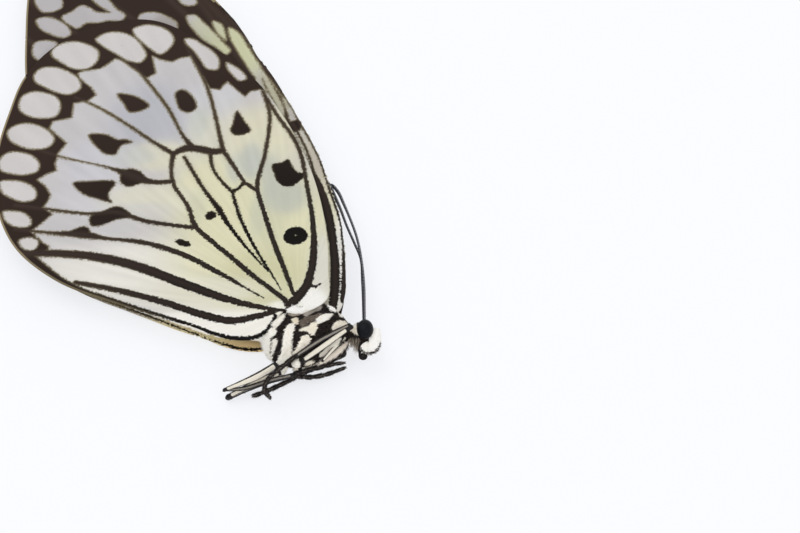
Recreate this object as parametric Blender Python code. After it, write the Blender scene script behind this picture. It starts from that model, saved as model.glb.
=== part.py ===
"""Paper kite butterfly (Idea leuconoe), a still model at life size.

The insect lies on its left side with its wings closed over its back.  +X runs
toward the head, +Y toward the back and the wings, +Z up from the surface it
lies on.  The origin is on that surface, under the middle of the thorax.

Every size below is in millimetres, and each finished mesh is turned to metres.
"""
import math

import bmesh
import bpy
import numpy as np
from mathutils import Matrix, Vector
from mathutils.geometry import delaunay_2d_cdt

MM = 0.001
GAP = 0.3  # clearance between neighbouring pieces

# Wings: a membrane with the veins raised in its outer face, four in a stack.
MEMBRANE = 0.5
RIDGE = 0.2
VEIN_HALF = 0.4  # half width of a vein at its foot
LEFT_HIND_Z = RIDGE
LEFT_FORE_Z = LEFT_HIND_Z + MEMBRANE + GAP + RIDGE
RIGHT_FORE_Z = LEFT_FORE_Z + MEMBRANE + GAP
RIGHT_HIND_Z = RIGHT_FORE_Z + MEMBRANE + RIDGE + GAP
HINGE = (-1.0, 3.5)  # where the right wings rise to their roots
ROOT_RISE = 1.9
RISE_REACH = 10.0
LEFT_HIND_BACK = 1.4  # how much further back the left hindwing lies
LEFT_FORE_TURN = math.radians(-1.1)
LEFT_FORE_BACK = 0.35  # how far its root lies toward the tail
OUTLINE_STEP = 3.2
VEIN_STEP = 4.0

# Body: lens-shaped sections about a middle plane at this height.
MID_Z = 2.8
BODY_SIDES = 20

HINDWING_EDGE = [
    (-2.8, 2.9), (-0.3, 2.8), (2.0, 4.4), (2.2, 9.0), (1.6, 16.5), (-0.1, 24.0),
    (-3.6, 32.6), (-8.8, 40.6), (-15.5, 46.4), (-22.0, 49.8), (-30.0, 48.3),
    (-34.6, 44.6), (-37.4, 39.8), (-38.6, 34.0), (-39.3, 27.0), (-38.2, 19.0),
    (-35.2, 13.0), (-30.0, 8.4), (-22.0, 4.5), (-13.0, 1.1), (-7.8, -0.8),
    (-5.0, 0.3), (-3.8, 2.0),
]
HINDWING_VEINS = {
    "subcosta": [(-1.7, 4.4), (-0.3, 6.7), (0.4, 11.0), (0.2, 16.0), (-0.7, 22.0),
                 (-2.1, 28.5), (-5.0, 34.2), (-8.2, 39.7)],
    "radius": [(-1.9, 5.6), (-3.6, 11.0), (-5.5, 17.0), (-6.8, 21.6), (-6.1, 27.0),
               (-6.0, 33.0), (-7.5, 38.5)],
    "media_1": [(-6.8, 21.6), (-8.5, 22.8), (-11.3, 28.0), (-13.3, 36.0), (-17.4, 47.0)],
    "media_2": [(-15.9, 28.2), (-18.5, 34.3), (-21.4, 39.0), (-24.2, 43.8), (-26.3, 48.8)],
    "media_3": [(-17.4, 27.3), (-21.3, 30.2), (-26.0, 34.2), (-31.0, 37.0), (-37.6, 38.0)],
    "cell_end": [(-8.5, 22.8), (-9.9, 21.4), (-12.8, 27.2), (-15.9, 28.2), (-17.4, 27.3)],
    "cubitus": [(-2.7, 4.2), (-6.5, 8.2), (-11.0, 13.0), (-14.0, 16.3), (-16.0, 21.0),
                (-17.4, 24.0), (-17.4, 27.3)],
    "cubitus_1a": [(-17.2, 23.0), (-20.3, 23.0), (-22.6, 24.2), (-28.5, 26.1), (-39.0, 28.6)],
    "cubitus_1b": [(-14.0, 16.0), (-20.0, 17.0), (-25.0, 18.3), (-32.0, 18.8), (-38.2, 19.6)],
    "cubitus_2": [(-6.2, 5.6), (-11.0, 9.3), (-17.0, 12.6), (-23.0, 14.4), (-36.6, 15.8)],
    "anal_1": [(-4.2, 3.3), (-10.0, 5.3), (-18.0, 9.2), (-26.0, 11.7), (-34.2, 12.2)],
    "anal_2": [(-4.4, 2.7), (-8.5, 1.9), (-14.0, 3.4), (-22.0, 6.5), (-29.0, 8.0)],
    "fold_upper": [(-9.9, 21.4), (-7.7, 15.0), (-5.2, 10.0), (-3.6, 7.2)],
    "fold_lower": [(-15.9, 26.8), (-12.0, 19.8), (-7.5, 12.4), (-5.4, 9.6)],
}
FOREWING_EDGE = [
    (0.4, 3.2), (3.3, 3.3), (4.2, 7.0), (3.9, 13.0), (2.6, 20.3), (0.0, 28.5),
    (-4.0, 36.7), (-9.1, 46.7), (-14.6, 54.3), (-21.0, 62.0), (-27.0, 68.0),
    (-31.8, 70.6), (-35.8, 68.8), (-38.2, 63.0), (-38.8, 55.0), (-38.2, 47.0),
    (-37.4, 40.5), (-36.0, 34.6), (-32.5, 30.8), (-26.0, 26.5), (-17.0, 19.6),
    (-8.0, 11.8), (-2.4, 6.2),
]
FOREWING_VEINS = {
    "subcosta": [(3.2, 5.0), (3.2, 12.0), (1.8, 20.0), (-1.0, 28.0), (-4.8, 38.0)],
    "radius": [(2.3, 5.0), (2.2, 12.0), (0.8, 20.0), (-2.2, 28.0), (-6.8, 37.6),
               (-14.0, 49.5), (-30.8, 70.4)],
    "radius_1": [(-4.2, 32.4), (-7.0, 40.0), (-10.5, 49.0)],
    "radius_2": [(-8.2, 40.2), (-13.5, 49.5), (-21.0, 62.0)],
    "media_1": [(-7.6, 38.0), (-19.0, 53.0), (-35.6, 69.0)],
    "media_2": [(-11.4, 36.0), (-23.5, 49.5), (-38.4, 62.0)],
    "media_3": [(-15.6, 32.0), (-26.5, 43.0), (-38.8, 54.4)],
    "cell_end": [(-6.8, 37.6), (-11.4, 36.0), (-15.6, 32.0), (-16.6, 29.4)],
    "cubitus": [(1.2, 5.2), (-2.0, 9.4), (-7.0, 16.6), (-12.0, 23.8), (-16.6, 29.4),
                (-26.5, 38.0), (-38.3, 47.2)],
    "cubitus_1b": [(-12.0, 23.8), (-23.5, 33.0), (-37.4, 40.6)],
    "anal": [(0.2, 4.6), (-7.0, 11.9), (-17.0, 20.6), (-27.0, 28.4), (-36.2, 35.2)],
}

# Thorax and abdomen stations: x, y and z of the middle, half height, half thickness.
THORAX = [
    (-5.0, 1.2, MID_Z, 1.5, 1.3), (-4.2, 0.7, MID_Z, 2.8, 2.2), (-2.6, 0.5, MID_Z, 3.5, 2.9),
    (0.0, 0.7, MID_Z, 3.7, 3.05), (2.2, 1.3, MID_Z, 3.1, 2.8), (3.7, 1.7, MID_Z, 2.2, 2.0),
    (4.5, 1.6, MID_Z, 1.3, 1.2),
]
ABDOMEN = [
    (-5.3, 1.2, 2.55, 1.3, 1.1), (-6.6, 1.5, 2.6, 1.9, 1.42), (-10.0, 2.8, 2.32, 2.0, 1.3),
    (-15.0, 4.7, 2.15, 2.0, 1.12), (-20.0, 6.6, 2.05, 1.8, 1.0), (-24.5, 8.3, 1.98, 1.3, 0.9),
    (-27.4, 9.4, 1.95, 0.5, 0.5),
]
BODY_STEP = 0.9
ABDOMEN_STEP = 1.5
SECTION_POWER = 1.5  # 1 is round, 2 a lens
COXAE = [  # x, y, offset from the middle plane, half sizes, lean from the y axis
    (-2.75, -1.3, 1.75, (0.62, 2.35, 0.65), math.radians(-14)),
    (-0.85, -1.35, 1.85, (0.6, 1.45, 0.65), math.radians(-26)),
]

# Head
HEAD_AT = (6.0, 1.1, MID_Z)
HEAD_HALF = (1.2, 1.6, 1.9)
EYE_OFFSET = (0.45, 0.0, 1.35)
EYE_HALF = (0.93, 1.2, 0.9)
PALP = [(6.7, -0.6, 1.0, 0.4), (7.2, -1.2, 1.0, 0.5), (7.8, -0.9, 1.0, 0.48),
        (8.05, 0.1, 1.0, 0.4), (8.0, 1.2, 1.0, 0.18)]
COIL_AT = (6.0, -1.55, MID_Z)
COIL_RADIUS = 0.75
COIL_THICK = 0.5
ANTENNA_RADIUS = 0.25
CLUB_RADIUS = 0.33
ANTENNAE = {
    "antenna_right": [(6.3, 2.95, 3.5), (6.35, 5.6, 3.2), (6.3, 8.3, 2.9), (6.05, 11.0, 2.6),
                      (5.3, 15.2, 2.2), (4.35, 18.7, 1.8), (3.3, 21.4, 1.55), (2.3, 23.3, 1.4)],
    "antenna_left": [(6.3, 2.95, 2.1), (6.3, 6.6, 1.7), (6.2, 9.6, 1.3), (5.8, 13.0, 0.95),
                     (4.9, 17.0, 0.7), (3.75, 20.6, 0.45), (2.6, 23.6, 0.36), (1.4, 26.4, 0.36)],
}

# Legs: x, y, z and radius along the femur, and along the tibia with its tarsus.
LEGS = {
    "midleg_right": {
        "femur": [(-1.3, -3.2, 4.3, 0.4), (-1.1, -3.8, 4.25, 0.5), (-0.4, -3.35, 4.3, 0.34),
                  (4.5, 0.65, 4.75, 0.3)],
        "shin": [(4.6, 1.1, 5.0, 0.28), (1.5, -1.05, 5.1, 0.26), (-1.4, -3.2, 5.15, 0.28),
                 (-3.2, -4.9, 4.75, 0.25), (-4.5, -5.9, 4.0, 0.25), (-4.7, -6.25, 2.6, 0.22),
                 (-4.2, -6.3, 1.0, 0.16)],
    },
    "midleg_left": {
        "femur": [(-1.1, -2.6, 1.5, 0.32), (1.5, -1.45, 1.35, 0.32), (4.4, 0.0, 1.2, 0.28)],
        "shin": [(4.5, -0.1, 0.5, 0.26), (1.5, -1.4, 0.35, 0.25), (-1.4, -3.05, 0.28, 0.25),
                 (-2.8, -3.8, 0.22, 0.2), (-4.75, -4.9, 0.22, 0.2), (-6.3, -5.75, 0.2, 0.16)],
    },
    "hindleg_right": {
        "femur": [(-3.4, -3.8, 4.2, 0.45), (-5.0, -4.6, 3.6, 0.42), (-9.2, -5.5, 1.9, 0.3)],
        "shin": [(-9.2, -5.65, 1.7, 0.28), (-4.75, -4.8, 2.2, 0.26), (-1.6, -3.75, 2.1, 0.26),
                 (0.5, -3.1, 2.0, 0.22), (2.5, -2.75, 2.0, 0.2), (4.2, -2.15, 1.9, 0.16)],
    },
    "hindleg_left": {
        "femur": [(-3.3, -3.4, 1.6, 0.4), (-4.75, -3.95, 1.6, 0.36), (-8.9, -5.75, 0.9, 0.28)],
        "shin": [(-8.9, -5.7, 0.4, 0.26), (-4.75, -4.05, 0.62, 0.24), (-2.8, -3.6, 0.95, 0.24),
                 (-1.7, -3.35, 1.1, 0.25), (0.2, -3.4, 1.0, 0.2), (1.5, -3.15, 0.9, 0.2),
                 (4.2, -2.0, 0.8, 0.15)],
    },
    "foreleg_right": {
        "femur": [(4.3, 0.7, 3.6, 0.28), (3.3, -0.95, 3.75, 0.25), (2.1, -2.75, 3.7, 0.16)],
    },
    "foreleg_left": {
        "femur": [(4.4, -0.05, 2.7, 0.38), (2.9, -1.45, 2.75, 0.4), (1.4, -2.65, 2.75, 0.26)],
    },
}
LEG_STEP = 1.6

COLOURS = {
    "wing": ((0.78, 0.77, 0.70), 0.6),
    "thorax": ((0.10, 0.09, 0.085), 0.85),
    "abdomen": ((0.45, 0.44, 0.40), 0.8),
    "head": ((0.12, 0.11, 0.10), 0.8),
    "eye": ((0.008, 0.010, 0.011), 0.15),
    "palp": ((0.80, 0.79, 0.74), 0.9),
    "proboscis": ((0.03, 0.025, 0.022), 0.5),
    "antenna": ((0.05, 0.052, 0.06), 0.6),
    "leg": ((0.14, 0.13, 0.12), 0.7),
}


def clear_scene():
    for thing in list(bpy.data.objects):
        bpy.data.objects.remove(thing, do_unlink=True)


def collection(name):
    made = bpy.data.collections.new(name)
    bpy.context.scene.collection.children.link(made)
    return made


def smooth(rows, step, closed=False):
    """Rows about step apart on a smooth curve through the given ones."""
    knots = np.array(rows, float)
    if closed:
        knots = np.vstack([knots[-1:], knots, knots[:2]])
    gaps = np.linalg.norm(np.diff(knots[:, :3], axis=0), axis=1)[:, None]
    slopes = np.diff(knots, axis=0) / gaps
    tangents = np.vstack([slopes[:1], slopes, slopes[-1:]])
    tangents = 0.5 * (tangents[1:] + tangents[:-1])
    inner = (slopes[:-1] * gaps[1:] + slopes[1:] * gaps[:-1]) / (gaps[:-1] + gaps[1:])
    tangents[1:-1] = inner
    first = 1 if closed else 0
    last = len(knots) - 2 if closed else len(knots) - 1
    made = []
    for i in range(first, last):
        count = max(1, round(float(gaps[i, 0]) / step))
        for k in range(count):
            t = k / count
            start = (1 + 2 * t) * (1 - t) ** 2 * knots[i] + t * (1 - t) ** 2 * gaps[i] * tangents[i]
            end = t * t * (3 - 2 * t) * knots[i + 1] + t * t * (t - 1) * gaps[i] * tangents[i + 1]
            made.append(start + end)
    if not closed:
        made.append(knots[-1])
    return np.array(made)


def rise(x, y):
    """How far the right wings stand up toward their roots."""
    reach = ((x - HINGE[0]) ** 2 + (y - HINGE[1]) ** 2) / RISE_REACH ** 2
    return ROOT_RISE / (1 + reach)


def vein_lines(veins):
    """Middle line and two foot lines of each vein, as rows of points."""
    lines = []
    for route in veins.values():
        middle = smooth(route, VEIN_STEP)
        along = np.gradient(middle, axis=0)
        along /= np.linalg.norm(along, axis=1)[:, None]
        across = np.column_stack([-along[:, 1], along[:, 0]]) * VEIN_HALF
        lines.append((middle, middle + across, middle - across))
    return lines


def distance_to(line, point):
    """Shortest way from a point to a line of straight pieces."""
    start = line[:-1]
    span = line[1:] - start
    along = ((point - start) * span).sum(axis=1) / (span ** 2).sum(axis=1)
    nearest = start + span * np.clip(along, 0, 1)[:, None]
    return float(np.linalg.norm(point - nearest, axis=1).min())


def wing_mesh(edge, veins, low, outer_up, rising):
    """A thin closed wing, split into triangles alike on both faces."""
    rim = smooth(edge, OUTLINE_STEP, closed=True)
    lines = vein_lines(veins)
    points = [Vector(p) for p in rim]
    edges = []
    for trio in lines:
        for line in trio:
            first = len(points)
            points += [Vector(p) for p in line]
            edges += [(first + k, first + k + 1) for k in range(len(line) - 1)]
    flat, _, faces, _, _, _ = delaunay_2d_cdt(points, edges, [list(range(len(rim)))], 1, 0.05)
    used = sorted({i for face in faces for i in face})
    bm = bmesh.new()
    under, over = {}, {}
    for i in used:
        point = np.array(flat[i][:2])
        height = max(0.0, 1 - min(distance_to(line[0], point) for line in lines) / VEIN_HALF) * RIDGE
        base = low + (rise(*point) if rising else 0.0)
        under[i] = bm.verts.new((*point, base - (0.0 if outer_up else height)))
        over[i] = bm.verts.new((*point, base + MEMBRANE + (height if outer_up else 0.0)))
    for a, b, c in faces:
        bm.faces.new((over[a], over[b], over[c]))
        bm.faces.new((under[c], under[b], under[a]))
    borders = {}
    for a, b, c in faces:
        for start, end in ((a, b), (b, c), (c, a)):
            borders[(start, end)] = (end, start) not in borders
            if (end, start) in borders:
                borders[(end, start)] = False
    for (start, end), is_rim in borders.items():
        if is_rim:
            bm.faces.new((under[start], under[end], over[end]))
            bm.faces.new((under[start], over[end], over[start]))
    return mesh_from(bm)


def mesh_from(bm):
    bmesh.ops.triangulate(bm, faces=[f for f in bm.faces if len(f.verts) > 4])
    mesh = bpy.data.meshes.new("piece")
    bm.to_mesh(mesh)
    bm.free()
    return mesh


def body_mesh(stations, step, grow=0.0):
    """A loft of lens sections along X, larger by grow on every side."""
    rows = smooth(stations, step)
    rows[0, 0] += math.copysign(grow, rows[0, 0] - rows[1, 0])
    rows[-1, 0] += math.copysign(grow, rows[-1, 0] - rows[0, 0])
    bm = bmesh.new()
    rings = []
    for x, y, z, tall, thick in rows:
        ring = []
        for k in range(BODY_SIDES):
            turn = 2 * math.pi * k / BODY_SIDES
            side = math.cos(turn)
            bulge = math.copysign(abs(side) ** SECTION_POWER, side)
            ring.append(bm.verts.new((x, y + (tall + grow) * math.sin(turn), z + (thick + grow) * bulge)))
        rings.append(ring)
    for one, two in zip(rings, rings[1:]):
        for k in range(BODY_SIDES):
            after = (k + 1) % BODY_SIDES
            bm.faces.new((one[k], one[after], two[after], two[k]))
    bm.faces.new(rings[0][::-1])
    bm.faces.new(rings[-1])
    bmesh.ops.recalc_face_normals(bm, faces=bm.faces)
    return mesh_from(bm)


def ball_mesh(centre, half, lean=0.0, sides=12):
    """An ellipsoid, leaning about Z."""
    bm = bmesh.new()
    place = Matrix.Translation(centre) @ Matrix.Rotation(lean, 4, "Z") @ Matrix.Diagonal((*half, 1.0))
    bmesh.ops.create_uvsphere(bm, u_segments=sides, v_segments=sides // 2 + 1, radius=1.0, matrix=place)
    return mesh_from(bm)


def tube_mesh(rows, grow=0.0):
    """A round tube whose rows give the middle line and the radius."""
    curve = bpy.data.curves.new("tube", "CURVE")
    curve.dimensions = "3D"
    curve.bevel_depth = 1.0
    curve.bevel_resolution = 2
    curve.use_fill_caps = True
    spline = curve.splines.new("POLY")
    spline.points.add(len(rows) - 1)
    for point, (x, y, z, radius) in zip(spline.points, rows):
        point.co = (x, y, z, 1.0)
        point.radius = radius + grow
    holder = bpy.data.objects.new("tube", curve)
    bpy.context.scene.collection.objects.link(holder)
    bpy.context.view_layer.update()
    mesh = bpy.data.meshes.new_from_object(holder.evaluated_get(bpy.context.evaluated_depsgraph_get()))
    bpy.data.objects.remove(holder, do_unlink=True)
    bm = bmesh.new()
    bm.from_mesh(mesh)
    bmesh.ops.remove_doubles(bm, verts=bm.verts, dist=0.0001)
    bmesh.ops.recalc_face_normals(bm, faces=bm.faces)
    return mesh_from(bm)


def largest_only(mesh):
    """The mesh with only its largest closed surface."""
    bm = bmesh.new()
    bm.from_mesh(mesh)
    left = set(bm.verts)
    shells = []
    while left:
        shell = set()
        reached = [left.pop()]
        while reached:
            vert = reached.pop()
            shell.add(vert)
            for edge in vert.link_edges:
                other = edge.other_vert(vert)
                if other in left:
                    left.discard(other)
                    reached.append(other)
        shells.append(shell)
    shells.sort(key=len)
    for shell in shells[:-1]:
        bmesh.ops.delete(bm, geom=list(shell), context="VERTS")
    bm.to_mesh(mesh)
    bm.free()
    return mesh


def combined(mesh, others, operation):
    """Join other closed meshes to a mesh, or cut them from it, in one step."""
    work = collection("work")
    base = bpy.data.objects.new("base", mesh)
    bpy.context.scene.collection.objects.link(base)
    for other in others:
        work.objects.link(bpy.data.objects.new("other", other))
    step = base.modifiers.new("step", "BOOLEAN")
    step.operation = operation
    step.operand_type = "COLLECTION"
    step.collection = work
    step.solver = "EXACT"
    bpy.context.view_layer.update()
    made = bpy.data.meshes.new_from_object(base.evaluated_get(bpy.context.evaluated_depsgraph_get()))
    for thing in [base, *work.objects]:
        bpy.data.objects.remove(thing, do_unlink=True)
    bpy.data.collections.remove(work)
    return largest_only(made)


def material(kind):
    found = bpy.data.materials.get(kind)
    if found:
        return found
    colour, roughness = COLOURS[kind]
    made = bpy.data.materials.new(kind)
    made.use_nodes = True
    shader = made.node_tree.nodes["Principled BSDF"]
    shader.inputs["Base Color"].default_value = (*colour, 1.0)
    shader.inputs["Roughness"].default_value = roughness
    return made


def add_part(name, mesh, kind):
    """Put a finished mesh in the model, in metres."""
    bm = bmesh.new()
    bm.from_mesh(mesh)
    bmesh.ops.remove_doubles(bm, verts=bm.verts, dist=0.002)
    bmesh.ops.triangulate(bm, faces=bm.faces)
    bm.to_mesh(mesh)
    bm.free()
    mesh.transform(Matrix.Scale(MM, 4))
    mesh.name = name
    mesh.materials.clear()
    mesh.materials.append(material(kind))
    mesh.shade_smooth()
    part = bpy.data.objects.new(name, mesh)
    bpy.data.collections["paper_kite_butterfly"].objects.link(part)
    return part


def coxa_meshes(grow=0.0):
    made = []
    for x, y, offset, half, lean in COXAE:
        for side in (1, -1):
            size = tuple(h + grow for h in half)
            made.append(ball_mesh((x, y, MID_Z + side * offset), size, lean))
    return made


def leg_meshes(lengths, grow=0.0):
    """The tubes and the knee of a leg, larger by grow all round and at each end."""
    made = []
    for rows in lengths.values():
        line = smooth(rows, LEG_STEP)
        for end, inner in ((0, 1), (-1, -2)):
            way = line[end, :3] - line[inner, :3]
            line[end, :3] += grow * way / np.linalg.norm(way)
        made.append(tube_mesh(line, grow))
    if "shin" in lengths:
        above, below = np.array(lengths["femur"][-1]), np.array(lengths["shin"][0])
        knee = (above + below) / 2
        reach = np.linalg.norm((above - below)[:3]) / 2 + knee[3] * 0.9 + grow
        made.append(ball_mesh(knee[:3], (reach, reach, reach), sides=10))
    return made


def floor_cutter():
    bm = bmesh.new()
    bmesh.ops.create_cube(bm, size=40.0, matrix=Matrix.Translation((0, 0, -20.0)))
    return mesh_from(bm)


def build_thorax():
    mesh = combined(body_mesh(THORAX, BODY_STEP), coxa_meshes(), "UNION")
    cutters = [floor_cutter()]
    for lengths in LEGS.values():
        cutters += leg_meshes(lengths, GAP)
    for cutter in cutters:
        mesh = combined(mesh, [cutter], "DIFFERENCE")
    add_part("thorax", mesh, "thorax")


def build_abdomen():
    add_part("abdomen", body_mesh(ABDOMEN, ABDOMEN_STEP), "abdomen")


def eye_mesh(side, grow=0.0):
    x, y, z = HEAD_AT
    centre = (x + EYE_OFFSET[0], y + EYE_OFFSET[1], z + side * EYE_OFFSET[2])
    return ball_mesh(centre, [h + grow for h in EYE_HALF], sides=16)


def build_head():
    mesh = ball_mesh(HEAD_AT, HEAD_HALF, sides=20)
    for side in (1, -1):
        mesh = combined(mesh, [eye_mesh(side, GAP)], "DIFFERENCE")
    mesh = combined(mesh, [body_mesh(THORAX, BODY_STEP, GAP)], "DIFFERENCE")
    add_part("head", mesh, "head")
    around = ball_mesh(HEAD_AT, [h + GAP for h in HEAD_HALF], sides=20)
    for side, name in ((1, "right"), (-1, "left")):
        add_part("eye_" + name, eye_mesh(side), "eye")
        rows = smooth([(x, y, MID_Z + side * z, r) for x, y, z, r in PALP], 0.5)
        palp = combined(tube_mesh(rows), [around.copy()], "DIFFERENCE")
        palp = combined(palp, [eye_mesh(side, GAP)], "DIFFERENCE")
        add_part("palp_" + name, palp, "palp")
    add_part("proboscis", coil_mesh(), "proboscis")


def coil_mesh():
    bm = bmesh.new()
    bmesh.ops.create_cone(bm, cap_ends=True, segments=20, radius1=COIL_RADIUS, radius2=COIL_RADIUS,
                          depth=COIL_THICK, matrix=Matrix.Translation(COIL_AT))
    return mesh_from(bm)


def build_antennae():
    for name, route in ANTENNAE.items():
        line = smooth(route, 1.6)
        way = np.linspace(0, 1, len(line))
        club = np.clip((way - 0.72) / 0.2, 0, 1) * (CLUB_RADIUS - ANTENNA_RADIUS)
        tip = np.where(way > 0.97, 0.6, 1.0)
        radii = (ANTENNA_RADIUS + club) * tip
        add_part(name, tube_mesh(np.column_stack([line, radii])), "antenna")


def build_wings():
    around = body_mesh(THORAX, BODY_STEP, GAP)
    left_hind = [(x, y + LEFT_HIND_BACK) for x, y in HINDWING_EDGE]
    left_hind[0] = (-3.0, 2.3)
    left_hind[1] = (-0.4, 2.3)
    left_hind_veins = {name: [(x, y + LEFT_HIND_BACK) for x, y in route]
                       for name, route in HINDWING_VEINS.items()}

    def turned(point):
        x, y = point[0] - FOREWING_EDGE[1][0], point[1] - FOREWING_EDGE[1][1]
        cos, sin = math.cos(LEFT_FORE_TURN), math.sin(LEFT_FORE_TURN)
        return (FOREWING_EDGE[1][0] - LEFT_FORE_BACK + x * cos - y * sin,
                FOREWING_EDGE[1][1] + x * sin + y * cos)

    left_fore = [turned(p) for p in FOREWING_EDGE]
    left_fore_veins = {name: [turned(p) for p in route] for name, route in FOREWING_VEINS.items()}
    wings = {
        "hindwing_left": (left_hind, left_hind_veins, LEFT_HIND_Z, False),
        "forewing_left": (left_fore, left_fore_veins, LEFT_FORE_Z, False),
        "forewing_right": (FOREWING_EDGE, FOREWING_VEINS, RIGHT_FORE_Z, True),
        "hindwing_right": (HINDWING_EDGE, HINDWING_VEINS, RIGHT_HIND_Z, True),
    }
    for name, (edge, veins, low, is_right) in wings.items():
        whole = wing_mesh(edge, veins, low, is_right, is_right)
        add_part(name, combined(whole, [around.copy()], "DIFFERENCE"), "wing")


def build_legs():
    for name, lengths in LEGS.items():
        pieces = leg_meshes(lengths)
        mesh = combined(pieces[0], pieces[1:], "UNION") if len(pieces) > 1 else pieces[0]
        add_part(name, mesh, "leg")


clear_scene()
collection("paper_kite_butterfly")
build_wings()
build_thorax()
build_abdomen()
build_head()
build_antennae()
build_legs()
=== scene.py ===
"""Looks of a paper kite butterfly (Idea leuconoe) that lies on its left side.

Shapes are worked out in millimetres and each finished mesh is turned to metres.
+X runs toward the head, +Y toward the back and the wings, +Z up from the floor.
"""
import math

import bmesh
import bpy
import numpy as np
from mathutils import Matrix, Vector, noise


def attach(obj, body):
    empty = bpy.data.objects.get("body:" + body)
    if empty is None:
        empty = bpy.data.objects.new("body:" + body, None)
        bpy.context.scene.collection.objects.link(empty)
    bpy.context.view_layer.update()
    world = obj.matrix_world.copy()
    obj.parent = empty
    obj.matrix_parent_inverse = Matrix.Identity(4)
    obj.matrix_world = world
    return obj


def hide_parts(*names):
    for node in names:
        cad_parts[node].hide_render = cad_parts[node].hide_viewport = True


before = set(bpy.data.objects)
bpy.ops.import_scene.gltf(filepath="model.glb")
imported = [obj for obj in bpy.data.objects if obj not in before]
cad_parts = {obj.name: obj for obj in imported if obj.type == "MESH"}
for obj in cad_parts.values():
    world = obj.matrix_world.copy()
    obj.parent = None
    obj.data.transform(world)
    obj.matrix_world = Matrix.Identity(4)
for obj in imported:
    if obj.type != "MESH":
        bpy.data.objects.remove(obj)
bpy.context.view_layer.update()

MM = 0.001  # one millimetre in metres

# The stack of wings: lower face of each membrane above the floor.
LEFT_HIND_Z = 0.30
LEFT_FORE_Z = 1.45
RIGHT_FORE_Z = 2.38
RIGHT_HIND_Z = 3.08
HINGE = (-1.0, 3.5)  # the streaks and the rise of the wings start here
ROOT_RISE = 1.9  # how far the right wings stand up at the hinge
RISE_REACH = 10.0  # half of the rise is left here
# The left wings lie a little off the right ones, so that their edges show past them.
LEFT_HIND_ON = 0.7
LEFT_HIND_BACK = 1.4
LEFT_HIND_SAG = 0.42  # how far the middle of its inner edge dips
LEFT_HIND_THINNER = 0.15  # how much narrower its dark lines are
LEFT_FORE_TURN = math.radians(-1.1)
LEFT_FORE_PIVOT = (3.3, 3.3)
LEFT_FORE_BACK = 0.35
MEMBRANE = 0.12  # thickness between the veins
VEIN_SWELL = 0.10
WAVE = 0.09  # height of the slow waves in a dried wing
STREAK = 0.09  # how strongly the ground colour is streaked from the root
WING_GRID = 0.2  # spacing of a wing's points
EDGE_STEP = 0.6  # spacing of rows along a wing's edge
LINE_STEP = 0.8  # and along its dark lines
SPOT_STEP = 0.4  # and round its spots
LINE_HALF = 0.59  # half width of a line as drawn, for each millimetre listed
MARK_REACH = 1.2  # how far from a mark its depth is worked out
HINDWING_FRINGE_TOP = 40.0  # the tan fringe of worn scales shows up to this y
FOREWING_FRINGE_TOP = 99.0  # past its tip
OUTER_FROM = 14.0  # from here outwards the marks turn browner and softer
OUTER_REACH = 26.0

MID_Z = 2.8  # height of the body's middle plane
ABDOMEN_FROM = -5.6
HEAD_FROM = 5.0
BAKE_PATCH = 0.003  # width of one tuft's patch on the unwrap

HINDWING_EDGE = [
    (-2.8, 2.9), (-0.3, 2.8), (2.0, 4.4), (2.2, 9.0), (1.6, 16.5), (-0.1, 24.0),
    (-3.6, 32.6), (-8.8, 40.6), (-15.5, 46.4), (-22.0, 49.8), (-30.0, 48.3),
    (-34.6, 44.6), (-37.4, 39.8), (-38.6, 34.0), (-39.3, 27.0), (-38.2, 19.0),
    (-35.2, 13.0), (-30.0, 8.4), (-22.0, 4.85), (-17.5, 3.08), (-13.0, 1.43),
    (-10.0, -0.02), (-7.5, -0.62), (-5.6, -0.48), (-4.4, 0.35), (-3.65, 2.0),
]
FOREWING_EDGE = [
    (0.4, 3.2), (3.3, 3.3), (4.2, 6.0), (4.22, 9.1), (3.95, 13.4), (3.38, 17.8), (2.45, 21.1),
    (1.78, 23.4), (1.0, 26.2), (0.1, 28.6), (-2.0, 33.2), (-3.4, 36.0), (-4.95, 39.1),
    (-6.5, 41.9), (-8.3, 44.6), (-9.9, 47.8), (-11.8, 51.0), (-14.2, 54.1), (-21.0, 62.0),
    (-27.0, 68.0), (-31.8, 70.6), (-35.8, 68.8), (-38.2, 63.0), (-38.8, 55.0), (-38.2, 47.0),
    (-37.4, 40.5), (-36.0, 34.6), (-32.5, 30.8), (-26.0, 26.5), (-17.0, 19.6),
    (-8.0, 11.8), (-2.4, 6.2),
]

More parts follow.
